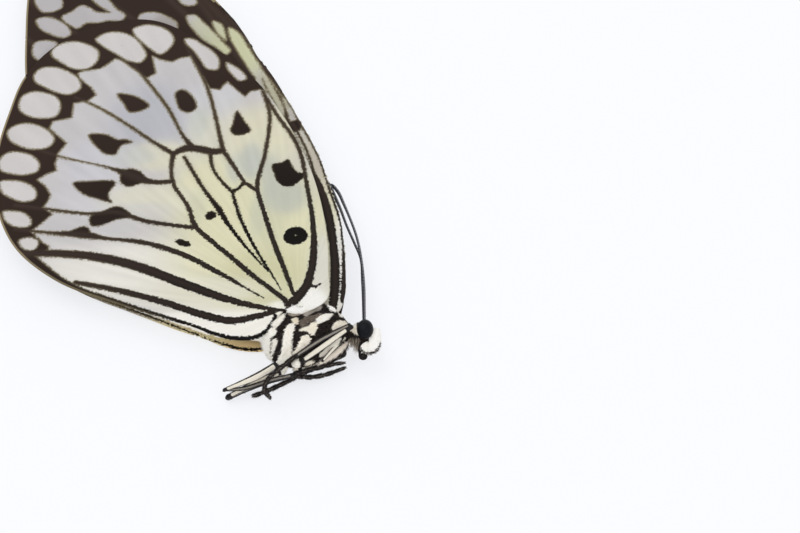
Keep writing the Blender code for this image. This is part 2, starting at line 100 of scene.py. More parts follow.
# Dark lines: x, y and width. Veins swell the membrane, folds don't.
HINDWING_VEINS = {
    "subcosta": [(-2.0, 3.8, 1.0), (-1.0, 5.2, 1.0), (-0.2, 6.7, 0.85), (0.1, 8.2, 0.8),
                 (0.4, 11.5, 0.75), (0.25, 15.5, 0.55), (-0.7, 22.0, 0.42), (-2.1, 28.6, 0.42),
                 (-5.2, 34.2, 0.4), (-6.8, 37.4, 0.4)],
    "humeral": [(0.0, 6.5, 0.5), (0.8, 6.4, 0.3), (1.4, 6.9, 0.12)],
    "radius": [(-1.7, 5.2, 0.3), (-2.6, 8.0, 0.48), (-4.6, 14.0, 0.5), (-6.2, 19.5, 0.45),
               (-6.75, 21.5, 0.45), (-6.1, 27.0, 0.42), (-5.8, 30.5, 0.4), (-5.75, 33.6, 0.38),
               (-6.7, 37.2, 0.36)],
    "cell_top": [(-6.8, 21.4, 0.42), (-7.6, 22.1, 0.5), (-8.4, 22.7, 0.42), (-8.9, 23.6, 0.4),
                 (-10.0, 25.6, 0.42), (-11.3, 27.8, 0.5)],
    "media_1": [(-11.3, 27.8, 0.5), (-11.8, 30.0, 0.42), (-12.5, 33.0, 0.38), (-14.0, 38.5, 0.36),
                (-16.2, 43.5, 0.36), (-17.3, 46.0, 0.36)],
    "cell_end": [(-11.3, 27.8, 0.7), (-12.5, 27.6, 0.85), (-14.0, 28.0, 0.9), (-15.9, 28.2, 0.9),
                 (-17.4, 27.3, 0.6)],
    "media_2": [(-15.2, 28.4, 0.7), (-16.3, 30.0, 0.4), (-18.5, 34.5, 0.34), (-21.3, 38.8, 0.32),
                (-24.3, 43.2, 0.32), (-25.6, 45.6, 0.3)],
    "media_3": [(-17.4, 27.3, 0.6), (-19.5, 28.8, 0.42), (-23.5, 32.0, 0.32), (-28.5, 35.5, 0.24),
                (-30.5, 36.5, 0.24)],
    "cubitus": [(-2.25, 3.05, 0.36), (-2.28, 3.5, 0.5), (-2.5, 4.15, 0.55), (-3.3, 5.05, 0.52),
                (-4.3, 6.05, 0.5), (-6.5, 8.2, 0.52), (-9.5, 11.4, 0.52),
                (-12.0, 13.9, 0.5), (-13.9, 16.0, 0.5), (-15.0, 19.0, 0.42), (-17.2, 23.0, 0.4),
                (-17.5, 26.0, 0.45), (-17.4, 27.2, 0.6)],
    "cubitus_1a": [(-17.2, 23.0, 0.55), (-19.6, 22.9, 0.6), (-22.0, 23.8, 1.2), (-24.5, 24.9, 0.4),
                   (-31.5, 27.0, 0.22), (-35.0, 28.3, 0.3)],
    "cubitus_1b": [(-14.0, 15.8, 0.45), (-17.0, 16.3, 0.48), (-20.0, 16.9, 0.5), (-24.0, 18.3, 0.5),
                   (-26.0, 18.1, 0.4), (-32.0, 18.8, 0.36), (-36.0, 19.4, 0.4)],
    "cubitus_2": [(-5.2, 4.9, 0.1), (-6.4, 5.8, 0.16), (-7.84, 6.88, 0.27), (-9.05, 7.8, 0.38),
                  (-11.0, 9.16, 0.54), (-14.0, 11.2, 0.58), (-20.0, 13.7, 0.55),
                  (-25.2, 14.5, 0.5), (-26.8, 14.9, 0.9), (-28.4, 15.1, 0.8),
                  (-31.0, 15.2, 0.4), (-35.5, 15.8, 0.4)],
    "anal_1": [(-2.3, 3.02, 0.3), (-3.2, 3.05, 0.36), (-6.0, 3.8, 0.55), (-10.0, 5.3, 0.8),
               (-14.0, 7.2, 1.0), (-22.0, 10.8, 1.05), (-26.0, 11.8, 1.0), (-30.0, 12.2, 0.9),
               (-34.3, 12.2, 0.9)],
    "anal_2": [(-3.9, 2.8, 0.45), (-6.0, 2.4, 0.7), (-8.5, 2.0, 0.8), (-12.0, 3.0, 0.8),
               (-16.0, 4.68, 0.74), (-20.0, 6.12, 0.7), (-24.0, 7.25, 0.6), (-27.5, 8.0, 0.5)],
}
HINDWING_FOLDS = {
    "inner_border": [(-34.2, 12.6, 0.9), (-32.0, 10.7, 0.7), (-29.6, 8.7, 0.55), (-27.1, 7.15, 0.5),
                     (-23.6, 5.72, 0.5), (-18.4, 3.7, 0.38), (-13.5, 1.75, 0.36),
                     (-10.7, 0.45, 0.4), (-9.6, 0.0, 0.44), (-8.3, -0.36, 0.46),
                     (-7.3, -0.46, 0.46), (-6.4, -0.44, 0.44), (-5.8, -0.28, 0.42),
                     (-4.7, 0.42, 0.42), (-4.0, 1.5, 0.4), (-3.7, 2.4, 0.34)],
    "upper": [(-9.8, 21.3, 0.35), (-8.7, 17.5, 0.36), (-6.8, 13.0, 0.3), (-4.5, 8.6, 0.18),
              (-3.2, 6.0, 0.07)],
    "lower": [(-16.0, 26.8, 0.35), (-14.0, 23.0, 0.38), (-12.5, 20.5, 0.42), (-11.3, 18.7, 0.6),
              (-10.3, 16.8, 0.45), (-7.5, 12.5, 0.28), (-4.8, 8.8, 0.08)],
    "cross_top": [(-9.8, 21.3, 0.4), (-9.0, 21.9, 0.4), (-8.4, 22.7, 0.4)],
    "cross_end": [(-9.8, 21.3, 0.36), (-11.0, 22.7, 0.32), (-12.5, 25.3, 0.34), (-12.8, 27.2, 0.4)],
}
# Dark spots of the hindwing, as outlines.
HINDWING_SPOTS = [
    [(-3.3, 14.5), (-2.7, 15.5), (-1.6, 15.8), (-0.6, 15.1), (-0.4, 14.1), (-1.2, 13.1),
     (-2.4, 13.0), (-3.2, 13.6)],
    [(-5.1, 25.7), (-4.0, 25.9), (-3.2, 26.5), (-2.6, 25.3), (-1.8, 24.3), (-1.0, 24.2),
     (-1.0, 23.7), (-1.6, 23.0), (-2.5, 22.2), (-3.2, 22.0), (-4.2, 22.6), (-4.8, 24.0)],
    [(-9.9, 34.3), (-8.9, 32.7), (-8.1, 30.8), (-8.6, 30.5), (-10.3, 30.5), (-10.6, 31.0),
     (-10.4, 32.0)],
    [(-17.9, 37.3), (-17.4, 37.8), (-15.2, 35.8), (-15.1, 34.6), (-16.0, 34.0), (-17.0, 34.4),
     (-17.7, 36.0)],
    [(-25.2, 37.2), (-24.0, 37.1), (-22.0, 36.2), (-21.0, 35.1), (-22.0, 34.3), (-23.5, 34.1),
     (-24.2, 35.3)],
    [(-28.2, 30.4), (-25.8, 30.4), (-24.6, 29.7), (-23.2, 29.6), (-22.6, 29.2), (-23.8, 28.8),
     (-24.2, 28.3), (-24.5, 27.3), (-25.3, 27.2), (-27.3, 28.8)],
    [(-29.4, 22.9), (-27.6, 23.1), (-24.1, 22.7), (-24.6, 21.8), (-24.8, 20.6), (-24.2, 19.8),
     (-26.0, 20.3), (-28.2, 21.3)],
    [(-23.7, 24.0), (-22.9, 25.0), (-21.9, 24.9), (-20.8, 24.1), (-20.6, 23.0), (-21.5, 22.5),
     (-22.7, 22.2), (-23.5, 22.8)],
    [(-22.4, 18.6), (-21.6, 17.6), (-23.5, 17.2), (-24.8, 16.5), (-26.5, 16.3), (-26.8, 17.7),
     (-25.5, 18.4), (-23.4, 19.2)],
    [(-12.9, 17.5), (-12.5, 18.3), (-11.8, 18.3), (-11.5, 17.6), (-12.0, 17.1), (-12.7, 17.1)],
    [(-16.2, 14.0), (-15.4, 14.1), (-14.4, 13.5), (-14.2, 13.1), (-15.0, 13.0), (-15.9, 13.4)],
    [(-29.0, 15.3), (-28.0, 16.1), (-27.0, 16.2), (-26.5, 15.3), (-27.0, 14.8), (-28.4, 14.9)],
    [(-33.3, 12.7), (-32.6, 14.0), (-31.9, 13.6), (-31.2, 12.8), (-32.0, 12.3)],
]
# The pale field inside the dark margin, from the inner corner round to the costa.
HINDWING_FIELD = [
    (-26.0, 6.4), (-27.4, 7.5), (-29.4, 8.8), (-31.2, 10.1), (-32.8, 11.7), (-31.0, 13.1),
    (-32.2, 14.0), (-32.8, 14.7), (-33.6, 15.5), (-32.5, 16.7), (-31.6, 17.8), (-31.3, 18.1),
    (-32.6, 19.1), (-32.1, 20.1), (-31.9, 21.1), (-32.7, 22.4), (-33.8, 23.4), (-32.7, 24.3),
    (-31.6, 24.8), (-31.9, 25.9), (-31.7, 26.8), (-31.7, 27.5), (-30.8, 29.1), (-32.0, 30.3),
    (-33.2, 31.5), (-32.9, 32.6), (-30.6, 33.2), (-30.6, 34.5), (-30.6, 35.6), (-28.9, 35.9),
    (-27.9, 37.0), (-28.7, 38.3), (-30.2, 39.7), (-30.6, 40.6), (-30.1, 41.0), (-27.8, 41.4),
    (-26.5, 42.6), (-26.0, 43.1), (-25.1, 42.7), (-21.8, 39.7), (-20.6, 40.6), (-21.0, 42.2),
    (-21.3, 43.5), (-20.2, 42.9), (-18.7, 42.5), (-17.6, 43.2), (-16.4, 43.4), (-13.6, 38.0),
    (-12.2, 37.8), (-11.9, 38.5), (-11.4, 39.1), (-10.2, 37.8), (-9.0, 36.6), (-8.4, 37.5),
    (-7.2, 37.8), (-6.6, 37.5), (-5.4, 37.2), (-1.0, 32.0), (4.0, 24.0), (5.0, 3.0), (0.0, 0.0),
    (-7.8, -3.0), (-14.0, -1.0), (-24.0, 4.2),
]
# Pale spots in the dark margin, after a pale fleck in the dark spot near the root.
HINDWING_MARGIN_SPOTS = [
    [(-1.86, 14.4), (-1.75, 14.56), (-1.64, 14.4), (-1.75, 14.24)],
    [(-34.9, 14.2), (-34.3, 14.5), (-33.2, 14.5), (-32.6, 14.1), (-32.6, 13.3), (-33.1, 12.7),
     (-34.0, 12.8)],
    [(-37.4, 18.5), (-36.2, 18.6), (-34.7, 18.2), (-33.8, 17.1), (-33.8, 16.4), (-34.7, 16.1),
     (-36.2, 16.5), (-37.2, 17.6)],
    [(-38.3, 23.1), (-36.8, 23.3), (-35.1, 22.9), (-33.7, 21.5), (-33.7, 20.5), (-35.0, 20.0),
     (-36.5, 20.5), (-37.9, 21.5)],
    [(-38.7, 26.8), (-37.9, 27.6), (-36.1, 27.6), (-34.7, 27.0), (-33.8, 25.7), (-33.9, 24.8),
     (-35.2, 24.2), (-37.0, 24.3), (-38.5, 24.9)],
    [(-38.4, 31.0), (-37.6, 31.9), (-36.2, 32.3), (-34.4, 31.8), (-33.0, 30.8), (-32.4, 29.7),
     (-32.8, 28.7), (-34.5, 28.1), (-36.5, 28.6), (-38.0, 29.7)],
    [(-37.5, 35.2), (-37.2, 36.8), (-36.1, 37.5), (-34.3, 37.3), (-32.8, 36.5), (-32.2, 34.9),
     (-32.6, 33.5), (-34.3, 33.1), (-36.3, 33.6), (-37.3, 34.5)],
    [(-36.2, 40.0), (-35.5, 41.4), (-34.0, 41.7), (-31.8, 40.9), (-30.3, 39.5), (-30.0, 38.2),
     (-31.2, 37.1), (-32.7, 37.3), (-34.6, 38.3), (-35.9, 39.2)],
    [(-34.4, 43.9), (-33.6, 45.5), (-31.6, 46.1), (-29.7, 45.5), (-28.3, 44.3), (-28.4, 42.6),
     (-29.6, 41.4), (-31.1, 41.4), (-33.1, 42.6), (-34.0, 43.3)],
    [(-28.9, 46.5), (-27.9, 47.4), (-26.1, 47.7), (-24.2, 46.9), (-22.7, 45.1), (-22.1, 43.4),
     (-22.8, 42.4), (-24.1, 42.6), (-26.0, 43.9), (-27.9, 45.3)],
    [(-24.2, 48.1), (-22.8, 48.9), (-20.7, 48.6), (-19.3, 47.6), (-18.7, 46.3), (-19.1, 45.0),
     (-20.3, 43.8), (-21.7, 44.8), (-23.1, 46.2), (-23.9, 47.2)],
    [(-17.3, 46.5), (-16.4, 46.5), (-15.0, 45.5), (-13.4, 44.1), (-12.6, 42.5), (-12.8, 41.2),
     (-14.0, 41.3), (-15.1, 42.9), (-16.2, 44.6), (-17.1, 45.6)],
    [(-11.7, 42.4), (-10.7, 41.8), (-9.5, 40.7), (-9.0, 39.6), (-9.8, 39.3), (-10.8, 40.3),
     (-11.5, 41.3)],
]

# The forewing's lists are laid out as the hindwing's are.
FOREWING_VEINS = {
    "costa": [(3.95, 5.0, 0.5), (4.0, 9.1, 0.38), (3.8, 13.4, 0.24), (3.24, 17.8, 0.22),
              (2.28, 21.1, 0.24), (1.64, 23.3, 0.2), (0.87, 26.2, 0.18), (0.0, 28.5, 0.18),
              (-2.15, 33.1, 0.22), (-3.5, 35.9, 0.36), (-5.0, 38.95, 0.54), (-6.6, 41.8, 0.6),
              (-8.4, 44.5, 0.6), (-10.1, 47.7, 0.6), (-12.1, 51.1, 0.7)],
    "subcosta": [(2.8, 4.0, 0.8), (2.95, 6.0, 0.92), (2.96, 9.1, 0.94), (2.66, 13.4, 0.82),
                 (2.0, 17.8, 0.92), (1.2, 21.1, 0.84), (0.5, 23.3, 0.7), (0.05, 24.6, 0.36),
                 (-0.4, 26.4, 0.26), (-0.95, 28.2, 0.24), (-2.1, 31.0, 0.26), (-2.9, 32.6, 0.4)],
    "radius": [(1.0, 21.3, 0.3), (0.43, 22.4, 0.3), (-0.14, 24.1, 0.3), (-0.8, 26.0, 0.3),
               (-1.9, 28.9, 0.3), (-3.2, 32.0, 0.4), (-3.5, 33.2, 0.4), (-4.5, 36.5, 0.42),
               (-6.0, 39.3, 0.5), (-7.0, 41.2, 0.5), (-8.4, 43.6, 0.6), (-10.0, 46.8, 0.8),
               (-12.0, 49.7, 0.9), (-18.0, 57.0, 0.9), (-30.8, 70.4, 0.8)],
    "radius_1": [(-3.4, 31.6, 0.3), (-6.3, 39.0, 0.5), (-10.5, 49.0, 0.7)],
    "radius_2": [(-8.2, 40.2, 0.5), (-13.5, 49.5, 0.8), (-21.0, 62.0, 0.8)],
    "media_1": [(-7.6, 38.0, 0.5), (-19.0, 53.0, 0.8), (-35.6, 69.0, 0.8)],
    "media_2": [(-11.4, 36.0, 0.5), (-23.5, 49.5, 0.8), (-38.4, 62.0, 0.8)],
    "media_3": [(-15.6, 32.0, 0.5), (-26.5, 43.0, 0.7), (-38.8, 54.4, 0.8)],
    "cell_end": [(-6.8, 37.6, 0.7), (-11.4, 36.0, 0.8), (-15.6, 32.0, 0.7), (-16.6, 29.4, 0.6)],
    "cubitus": [(1.2, 5.2, 0.5), (-2.0, 9.4, 0.6), (-7.0, 16.6, 0.6), (-12.0, 23.8, 0.6),
                (-16.6, 29.4, 0.6), (-26.5, 38.0, 0.6), (-38.3, 47.2, 0.8)],
    "cubitus_1b": [(-12.0, 23.8, 0.5), (-23.5, 33.0, 0.5), (-37.4, 40.6, 0.7)],
    "anal": [(0.2, 4.6, 0.6), (-7.0, 11.9, 0.8), (-17.0, 20.6, 0.8), (-27.0, 28.4, 0.7),
             (-36.2, 35.2, 0.6)],
}
FOREWING_SPOTS = [
    [(-3.7, 32.7), (-2.95, 33.2), (-2.1, 33.4), (-1.7, 32.5), (-2.3, 31.3), (-3.2, 31.6)],
    [(-3.2, 21.5), (-1.6, 22.4), (-0.6, 21.0), (-1.4, 19.4), (-3.0, 19.6)],
    [(-9.0, 28.8), (-7.4, 29.2), (-6.6, 27.6), (-8.2, 26.4)],
    [(-17.8, 26.8), (-15.6, 27.2), (-15.2, 25.4), (-17.2, 25.0)],
    [(-24.6, 36.2), (-22.6, 36.4), (-21.4, 34.6), (-23.2, 33.8)],
]
FOREWING_FIELD = [
    (4.8, 3.0), (4.8, 14.0), (3.2, 20.5), (0.5, 28.7), (-2.2, 34.0), (-4.0, 38.5), (-7.0, 41.0),
    (-9.0, 40.2), (-10.5, 42.0), (-13.0, 42.5), (-13.6, 40.6), (-16.5, 42.8), (-18.8, 43.0),
    (-19.0, 41.0), (-22.4, 41.8), (-24.0, 39.8), (-26.8, 40.0), (-27.0, 37.6), (-30.5, 37.6),
    (-30.4, 35.4), (-33.0, 34.6), (-32.0, 32.4), (-28.0, 29.6), (-17.0, 21.2), (-8.0, 13.0),
    (-3.4, 7.4), (-1.0, 0.0),
]
FOREWING_MARGIN_SPOTS = [
    [(-37.7, 54.8), (-36.2, 55.2), (-34.4, 54.4), (-34.1, 52.7), (-35.1, 52.0), (-36.3, 51.8),
     (-37.4, 52.9)],
    [(-37.2, 50.6), (-36.2, 51.0), (-34.3, 50.4), (-32.9, 49.2), (-32.4, 47.9), (-33.2, 47.4),
     (-34.9, 47.9), (-36.5, 49.0)],
    [(-37.1, 45.2), (-36.8, 46.5), (-35.3, 46.9), (-34.0, 46.4), (-34.2, 45.2), (-34.6, 43.6),
     (-35.6, 43.3), (-36.6, 43.8)],
    [(-33.9, 51.1), (-32.7, 52.0), (-31.5, 53.1), (-30.4, 52.7), (-29.5, 52.0), (-28.2, 51.8),
     (-26.4, 52.0), (-25.5, 51.1), (-26.0, 50.4), (-27.6, 50.4), (-29.1, 50.0), (-30.6, 49.9),
     (-31.6, 49.0), (-32.6, 49.5)],
    [(-30.6, 54.9), (-28.5, 54.5), (-26.7, 52.3), (-25.7, 51.4), (-26.3, 51.1), (-28.0, 52.2),
     (-29.4, 53.2)],
    [(-23.5, 51.6), (-21.9, 51.9), (-20.0, 51.1), (-18.6, 49.8), (-18.6, 48.8), (-19.8, 48.0),
     (-21.7, 47.6), (-23.1, 48.6)],
    [(-17.5, 51.1), (-16.6, 51.4), (-15.3, 50.2), (-13.8, 48.4), (-12.4, 46.5), (-11.4, 44.8),
     (-11.8, 44.4), (-13.2, 45.5), (-15.1, 47.0), (-16.5, 48.8), (-17.3, 50.2)],
    [(-14.0, 50.2), (-12.9, 49.8), (-12.3, 48.4), (-12.1, 46.7), (-12.7, 47.4), (-13.6, 48.8)],
    [(-11.8, 49.1), (-10.7, 48.4), (-9.3, 46.0), (-7.9, 43.2), (-7.0, 41.2), (-7.2, 39.8),
     (-8.0, 40.5), (-9.4, 42.9), (-10.8, 45.6), (-11.6, 47.4)],
    [(-8.0, 43.6), (-7.2, 42.0), (-6.1, 39.9), (-4.9, 37.2), (-4.0, 34.6), (-4.1, 33.9),
     (-5.2, 36.0), (-6.4, 38.6), (-7.4, 41.4)],
    [(-4.4, 37.4), (-3.5, 35.9), (-2.7, 34.2), (-2.5, 33.4), (-3.2, 33.9), (-4.0, 35.8)],
    [(-37.4, 60.6), (-36.2, 61.4), (-34.8, 60.2), (-34.6, 58.4), (-35.8, 57.6), (-37.2, 58.6)],
    [(-35.6, 66.8), (-34.4, 67.4), (-33.0, 66.2), (-32.8, 64.8), (-34.2, 64.2), (-35.6, 65.2)],
    [(-30.8, 69.0), (-29.4, 69.0), (-28.2, 67.6), (-28.6, 66.4), (-30.0, 66.6), (-31.0, 67.6)],
    [(-24.6, 64.8), (-23.2, 64.6), (-22.2, 63.0), (-22.8, 61.8), (-24.2, 62.4)],
    [(-33.0, 59.6), (-31.0, 60.4), (-28.6, 58.6), (-27.2, 56.2), (-28.8, 55.6), (-31.4, 57.2)],
    [(-28.6, 64.0), (-26.6, 63.6), (-23.8, 60.6), (-21.6, 57.4), (-22.8, 56.6), (-25.8, 59.4)],
    [(-21.6, 60.2), (-20.0, 59.4), (-17.8, 56.0), (-16.4, 53.2), (-17.4, 53.0), (-19.8, 56.0)],
]

# Ground colours: middle, reach, sRGB colour and strength, laid over one another. The grey and
# blue-grey zones are painted shade: the forewing's dark marks seen through the thin membrane.
HINDWING_GROUND = [
    (-17.0, 9.6, 17.0, 4.6, "#e5e1d7", 0.95),
    # Painted shade: grey and blue-grey where the forewing's dark marks show through the membrane.
    (-21.0, 33.0, 5.0, 6.0, "#abacb5", 0.85),
    (-27.0, 26.0, 4.0, 4.0, "#c3c2c9", 0.6),
    (-26.0, 20.5, 5.0, 3.0, "#c9c7cc", 0.6),
    (-12.5, 36.5, 3.0, 4.0, "#c8c8cb", 0.6),
    (-5.5, 13.0, 11.5, 13.0, "#d8d4ad", 1.0),
    (-5.5, 7.6, 5.4, 5.0, "#c4c194", 0.8),
    (-4.8, 15.5, 1.7, 4.2, "#c6c5a3", 0.6),
    (-12.5, 21.5, 5.0, 6.5, "#d8d4ae", 0.9),
    (-6.0, 30.5, 6.0, 5.0, "#dbd6b4", 0.8),
    (-19.0, 27.0, 4.0, 2.4, "#d9d4b8", 0.8),
    (-19.5, 20.2, 6.0, 2.6, "#d9d5bd", 0.8),
    (-13.5, 31.0, 2.2, 3.0, "#d3d0ba", 0.7),
    # Painted shade: grey-green where the forewing's dark marks show through the membrane.
    (-3.4, 20.6, 2.9, 2.9, "#b3b6a8", 0.85),
    (-5.2, 24.0, 1.3, 3.6, "#b4b8ab", 0.7),
    (-7.7, 26.2, 1.5, 3.0, "#b5b9b0", 0.85),
    (-6.6, 17.4, 1.0, 3.4, "#bdc0a8", 0.6),
    (-9.6, 25.0, 1.2, 2.4, "#bec0b2", 0.8),
    (-14.6, 32.4, 1.2, 2.4, "#b8bcb4", 0.7),
    (-22.6, 27.0, 3.0, 1.5, "#bdbfbc", 0.7),
    (-14.0, 19.0, 1.2, 2.6, "#c6c6a8", 0.6),
    (-21.0, 18.6, 4.0, 1.2, "#c6c5c4", 0.5),
    (-10.0, 6.4, 7.0, 1.5, "#d8d4b2", 0.8),
    (-13.5, 6.2, 7.5, 2.4, "#dedaca", 0.6),
    (-12.0, 1.4, 16.0, 2.4, "#f2eee4", 0.95),
    (1.2, 9.0, 1.3, 6.0, "#d6d3c6", 0.95),
    (0.4, 4.4, 1.9, 1.9, "#f3f1ea", 1.0),
    (-3.2, 3.6, 1.5, 0.8, "#efeddf", 0.9),
]
FOREWING_GROUND = [
    (-4.0, 16.0, 12.0, 14.0, "#dcd8b8", 1.0),
    (-10.0, 46.0, 5.0, 6.0, "#c3c49a", 1.0),
    (-15.0, 48.5, 2.5, 3.0, "#b7b794", 0.7),
    (-20.0, 49.8, 1.8, 2.2, "#968d88", 0.8),
    (-5.0, 38.5, 2.2, 5.0, "#b0ac90", 1.0),
    (3.6, 12.0, 0.8, 9.0, "#e2ded6", 1.0),
    (1.2, 27.0, 2.0, 4.0, "#b5ab9c", 0.9),
]
# Tan zones along the left hindwing's inner edge, the only part of it that shows. The tan is partly
# the wing's own colour and partly painted light: the membrane lit through in the shade of the right
# wings, set brighter to offset that shade.
LEFT_HIND_TAN = [(-14.0, 1.0, 13.0, 3.6, "#e6d6a2", 1.0), (-6.5, -0.6, 5.0, 2.0, "#eccb8c", 0.9)]

# Body stations: x, y of the middle, half height, half thickness.
THORAX = [
    (-5.0, 1.2, 1.5, 1.3), (-4.2, 0.7, 2.8, 2.2), (-2.6, 0.5, 3.5, 2.9), (0.0, 0.7, 3.7, 3.05),
    (2.2, 1.3, 3.1, 2.8), (3.7, 1.7, 2.2, 2.0), (4.5, 1.6, 1.3, 1.2),
]
ABDOMEN = [
    (-4.4, 1.1, 1.3, 1.1), (-5.3, 1.5, 1.2, 1.2), (-6.6, 1.95, 1.45, 1.42), (-10.0, 2.8, 2.0, 1.3),
    (-15.0, 4.7, 2.0, 1.12), (-20.0, 6.6, 1.8, 1.0), (-24.5, 8.3, 1.3, 0.9),
    (-27.2, 9.35, 0.5, 0.5),
]
ABDOMEN_SINK = 0.035  # how much lower the abdomen lies for each millimetre toward its tip
SEGMENT = 2.7  # length of one ring of the abdomen
COAT_DEPTH = 0.16  # how far the skin lies inside the tips of its coat
SECTION_POWER = 1.5  # above 1 the sections of the body are lens shaped
SKIN_GRID = 0.13  # grid on which the lumps of the body merge into one skin
GROOVE = 0.08  # depth of the groove between two rings of the abdomen
GROOVE_HALF = 0.22
BODY_SPAN = (-28.0, 8.0)  # stretch of X that the body's unwrap covers
PALP_SPAN = (5.5, 9.0)
PATCH_STEP = 0.15  # spacing of rows round a patch
SWELLINGS = {  # middle, half sizes and lean about Z; z is measured from the middle plane
    "hind coxa": ((-2.7, -1.3, 1.75), (0.62, 2.4, 0.62), -14),
    "middle coxa": ((-0.8, -1.3, 1.85), (0.6, 1.4, 0.62), -28),
    "fore coxa": ((3.4, -0.3, 0.9), (0.5, 1.3, 0.5), -38),
    "side plate": ((1.1, 0.7, 2.25), (0.75, 1.5, 0.5), -32),
    "hindwing root": ((-1.4, 3.0, 1.7), (1.7, 0.7, 0.85), 4),
    "forewing root": ((1.8, 3.6, 1.25), (1.5, 0.7, 0.85), -18),
    "shoulder plate": ((2.7, 3.3, 1.2), (0.7, 0.6, 0.85), -40),
    "mouth": ((6.0, -0.25, 0.0), (0.36, 0.85, 0.5), 10),
}
NECK = [(4.0, 1.6, MID_Z, 1.05), (5.0, 1.35, MID_Z, 0.85), (5.8, 1.2, MID_Z, 1.0)]
HEAD_AT = (6.0, 1.15, MID_Z)
HEAD_HALF = (1.05, 1.35, 1.6)
EYE_AT = (6.58, 1.02, 1.35)
EYE_HALF = (0.97, 1.22, 0.92)
# Pale patches of the body, seen from the side that shows: x and y at a height of 4.
SEEN_HEIGHT = 4.0
SEEN_SLOPE = 0.7  # how far a point seems to move in Y for each millimetre of height
BODY_PATCHES = {
    "hind root": ("#f8f5ec", [
        (-3.94, 2.42), (-3.67, 2.9), (-3.09, 3.3), (-2.47, 3.34), (-2.56, 2.72), (-2.9, 2.1),
        (-3.54, 1.49), (-3.89, 1.79)]),
    "flank": ("#f8f6ee", [
        (-5.9, 0.7), (-4.74, 0.9), (-4.34, 1.23), (-3.83, 1.52), (-3.39, 1.14), (-3.4, 0.56),
        (-3.86, 0.32), (-3.97, -0.51), (-4.03, -1.55), (-4.0, -2.58), (-4.1, -3.78), (-4.7, -3.6),
        (-5.3, -2.2), (-5.9, -0.6)]),
    "flank strip": ("#f6f2e8", [
        (-3.73, -0.08), (-3.32, 0.04), (-3.22, -0.38), (-3.42, -1.21), (-3.62, -2.07),
        (-3.84, -3.06), (-3.99, -3.69), (-3.93, -2.24), (-3.86, -1.03)]),
    "hind coxa": ("#f8f5ec", [
        (-2.29, 1.54), (-1.87, 1.96), (-1.4, 2.07), (-1.33, 1.23), (-1.48, 0.18), (-1.54, -1.03),
        (-1.47, -2.07), (-1.7, -2.75), (-2.12, -3.26), (-2.68, -3.95), (-3.39, -4.29),
        (-3.69, -3.95), (-3.42, -3.35), (-2.99, -2.58), (-2.7, -1.38), (-2.6, -0.17),
        (-2.49, 0.88)]),
    "middle coxa": ("#f8f3e6", [
        (-0.42, 0.3), (0.05, 0.5), (0.58, -0.05), (0.41, -0.6), (-0.08, -1.21), (-0.57, -1.89),
        (-1.31, -2.5), (-1.37, -1.98), (-1.03, -1.21), (-0.69, -0.34)]),
    "side": ("#f1ebdc", [
        (-0.78, 1.1), (-0.23, 1.5), (0.35, 1.72), (0.7, 2.19), (1.25, 2.02), (1.3, 1.4),
        (1.1, 1.0), (1.05, 0.5), (0.72, 0.42), (0.3, 0.86), (-0.1, 1.05), (-0.48, 0.95)]),
    "shoulder": ("#f8f5ee", [
        (1.13, 2.72), (1.63, 3.13), (2.37, 3.28), (2.99, 3.23), (2.75, 2.77), (2.1, 2.28),
        (1.29, 2.07), (1.09, 2.28)]),
    "collar": ("#f3ede0", [
        (2.92, 1.54), (3.16, 2.07), (3.86, 2.37), (4.42, 2.1), (4.6, 1.84), (3.88, 1.49),
        (3.29, 1.23), (3.0, 1.09)]),
    "wing root": ("#fbfaf7", [
        (-2.2, 3.55), (-2.2, 4.4), (-1.8, 4.5), (-1.05, 4.2), (-0.1, 4.05), (0.1, 3.65),
        (-0.9, 3.36), (-1.6, 3.4)]),
    "root smear": ("#968d7e", [(-2.1, 3.4), (-1.2, 3.38), (-0.5, 3.3), (-1.0, 3.05),
                               (-1.8, 3.0)]),
    "tan": ("#e8dfca", [(-1.67, 2.54), (-1.04, 2.84), (-1.01, 1.89), (-1.35, 2.02)]),
    "ridge": ("#a39d95", [
        (-0.5, 3.35), (0.44, 3.85), (1.6, 4.5), (1.69, 4.0), (0.74, 3.45), (-0.1, 2.95)]),
    "brown": ("#4c423a", [
        (-0.84, 2.1), (-0.27, 2.75), (0.75, 3.1), (1.63, 3.4), (1.35, 2.85), (0.9, 2.5),
        (0.33, 2.1), (-0.53, 1.62)]),
    "tegula": ("#fbfaf6", [(2.2, 4.6), (2.86, 4.6), (3.35, 4.05), (3.18, 3.5), (2.65, 3.9)]),
    "front plate": ("#f4f1e8", [(3.5, 3.4), (4.1, 2.95), (4.3, 2.65), (3.8, 2.75)]),
    "low": ("#e9e2d3", [(-0.05, -3.41), (0.66, -3.07), (1.16, -3.32), (0.75, -3.99),
                        (0.05, -4.07)]),
    "fore coxa": ("#e6e1d6", [(3.9, 0.0), (3.2, -0.2), (2.2, -1.4), (1.5, -2.5), (2.1, -2.7),
                              (3.3, -1.3)]),
    "eye rim": ("#f6f3ea", [(5.9, 2.5), (5.4, 2.3), (5.3, 1.81), (5.35, 1.32), (5.62, 1.25),
                            (5.6, 1.74)]),
    "cheek": ("#ece5d5", [
        (4.98, 1.02), (5.22, 1.3), (5.5, 1.46), (5.76, 1.15), (5.88, 0.74), (6.06, 0.36),
        (5.62, 0.44), (5.2, 0.7)]),
}

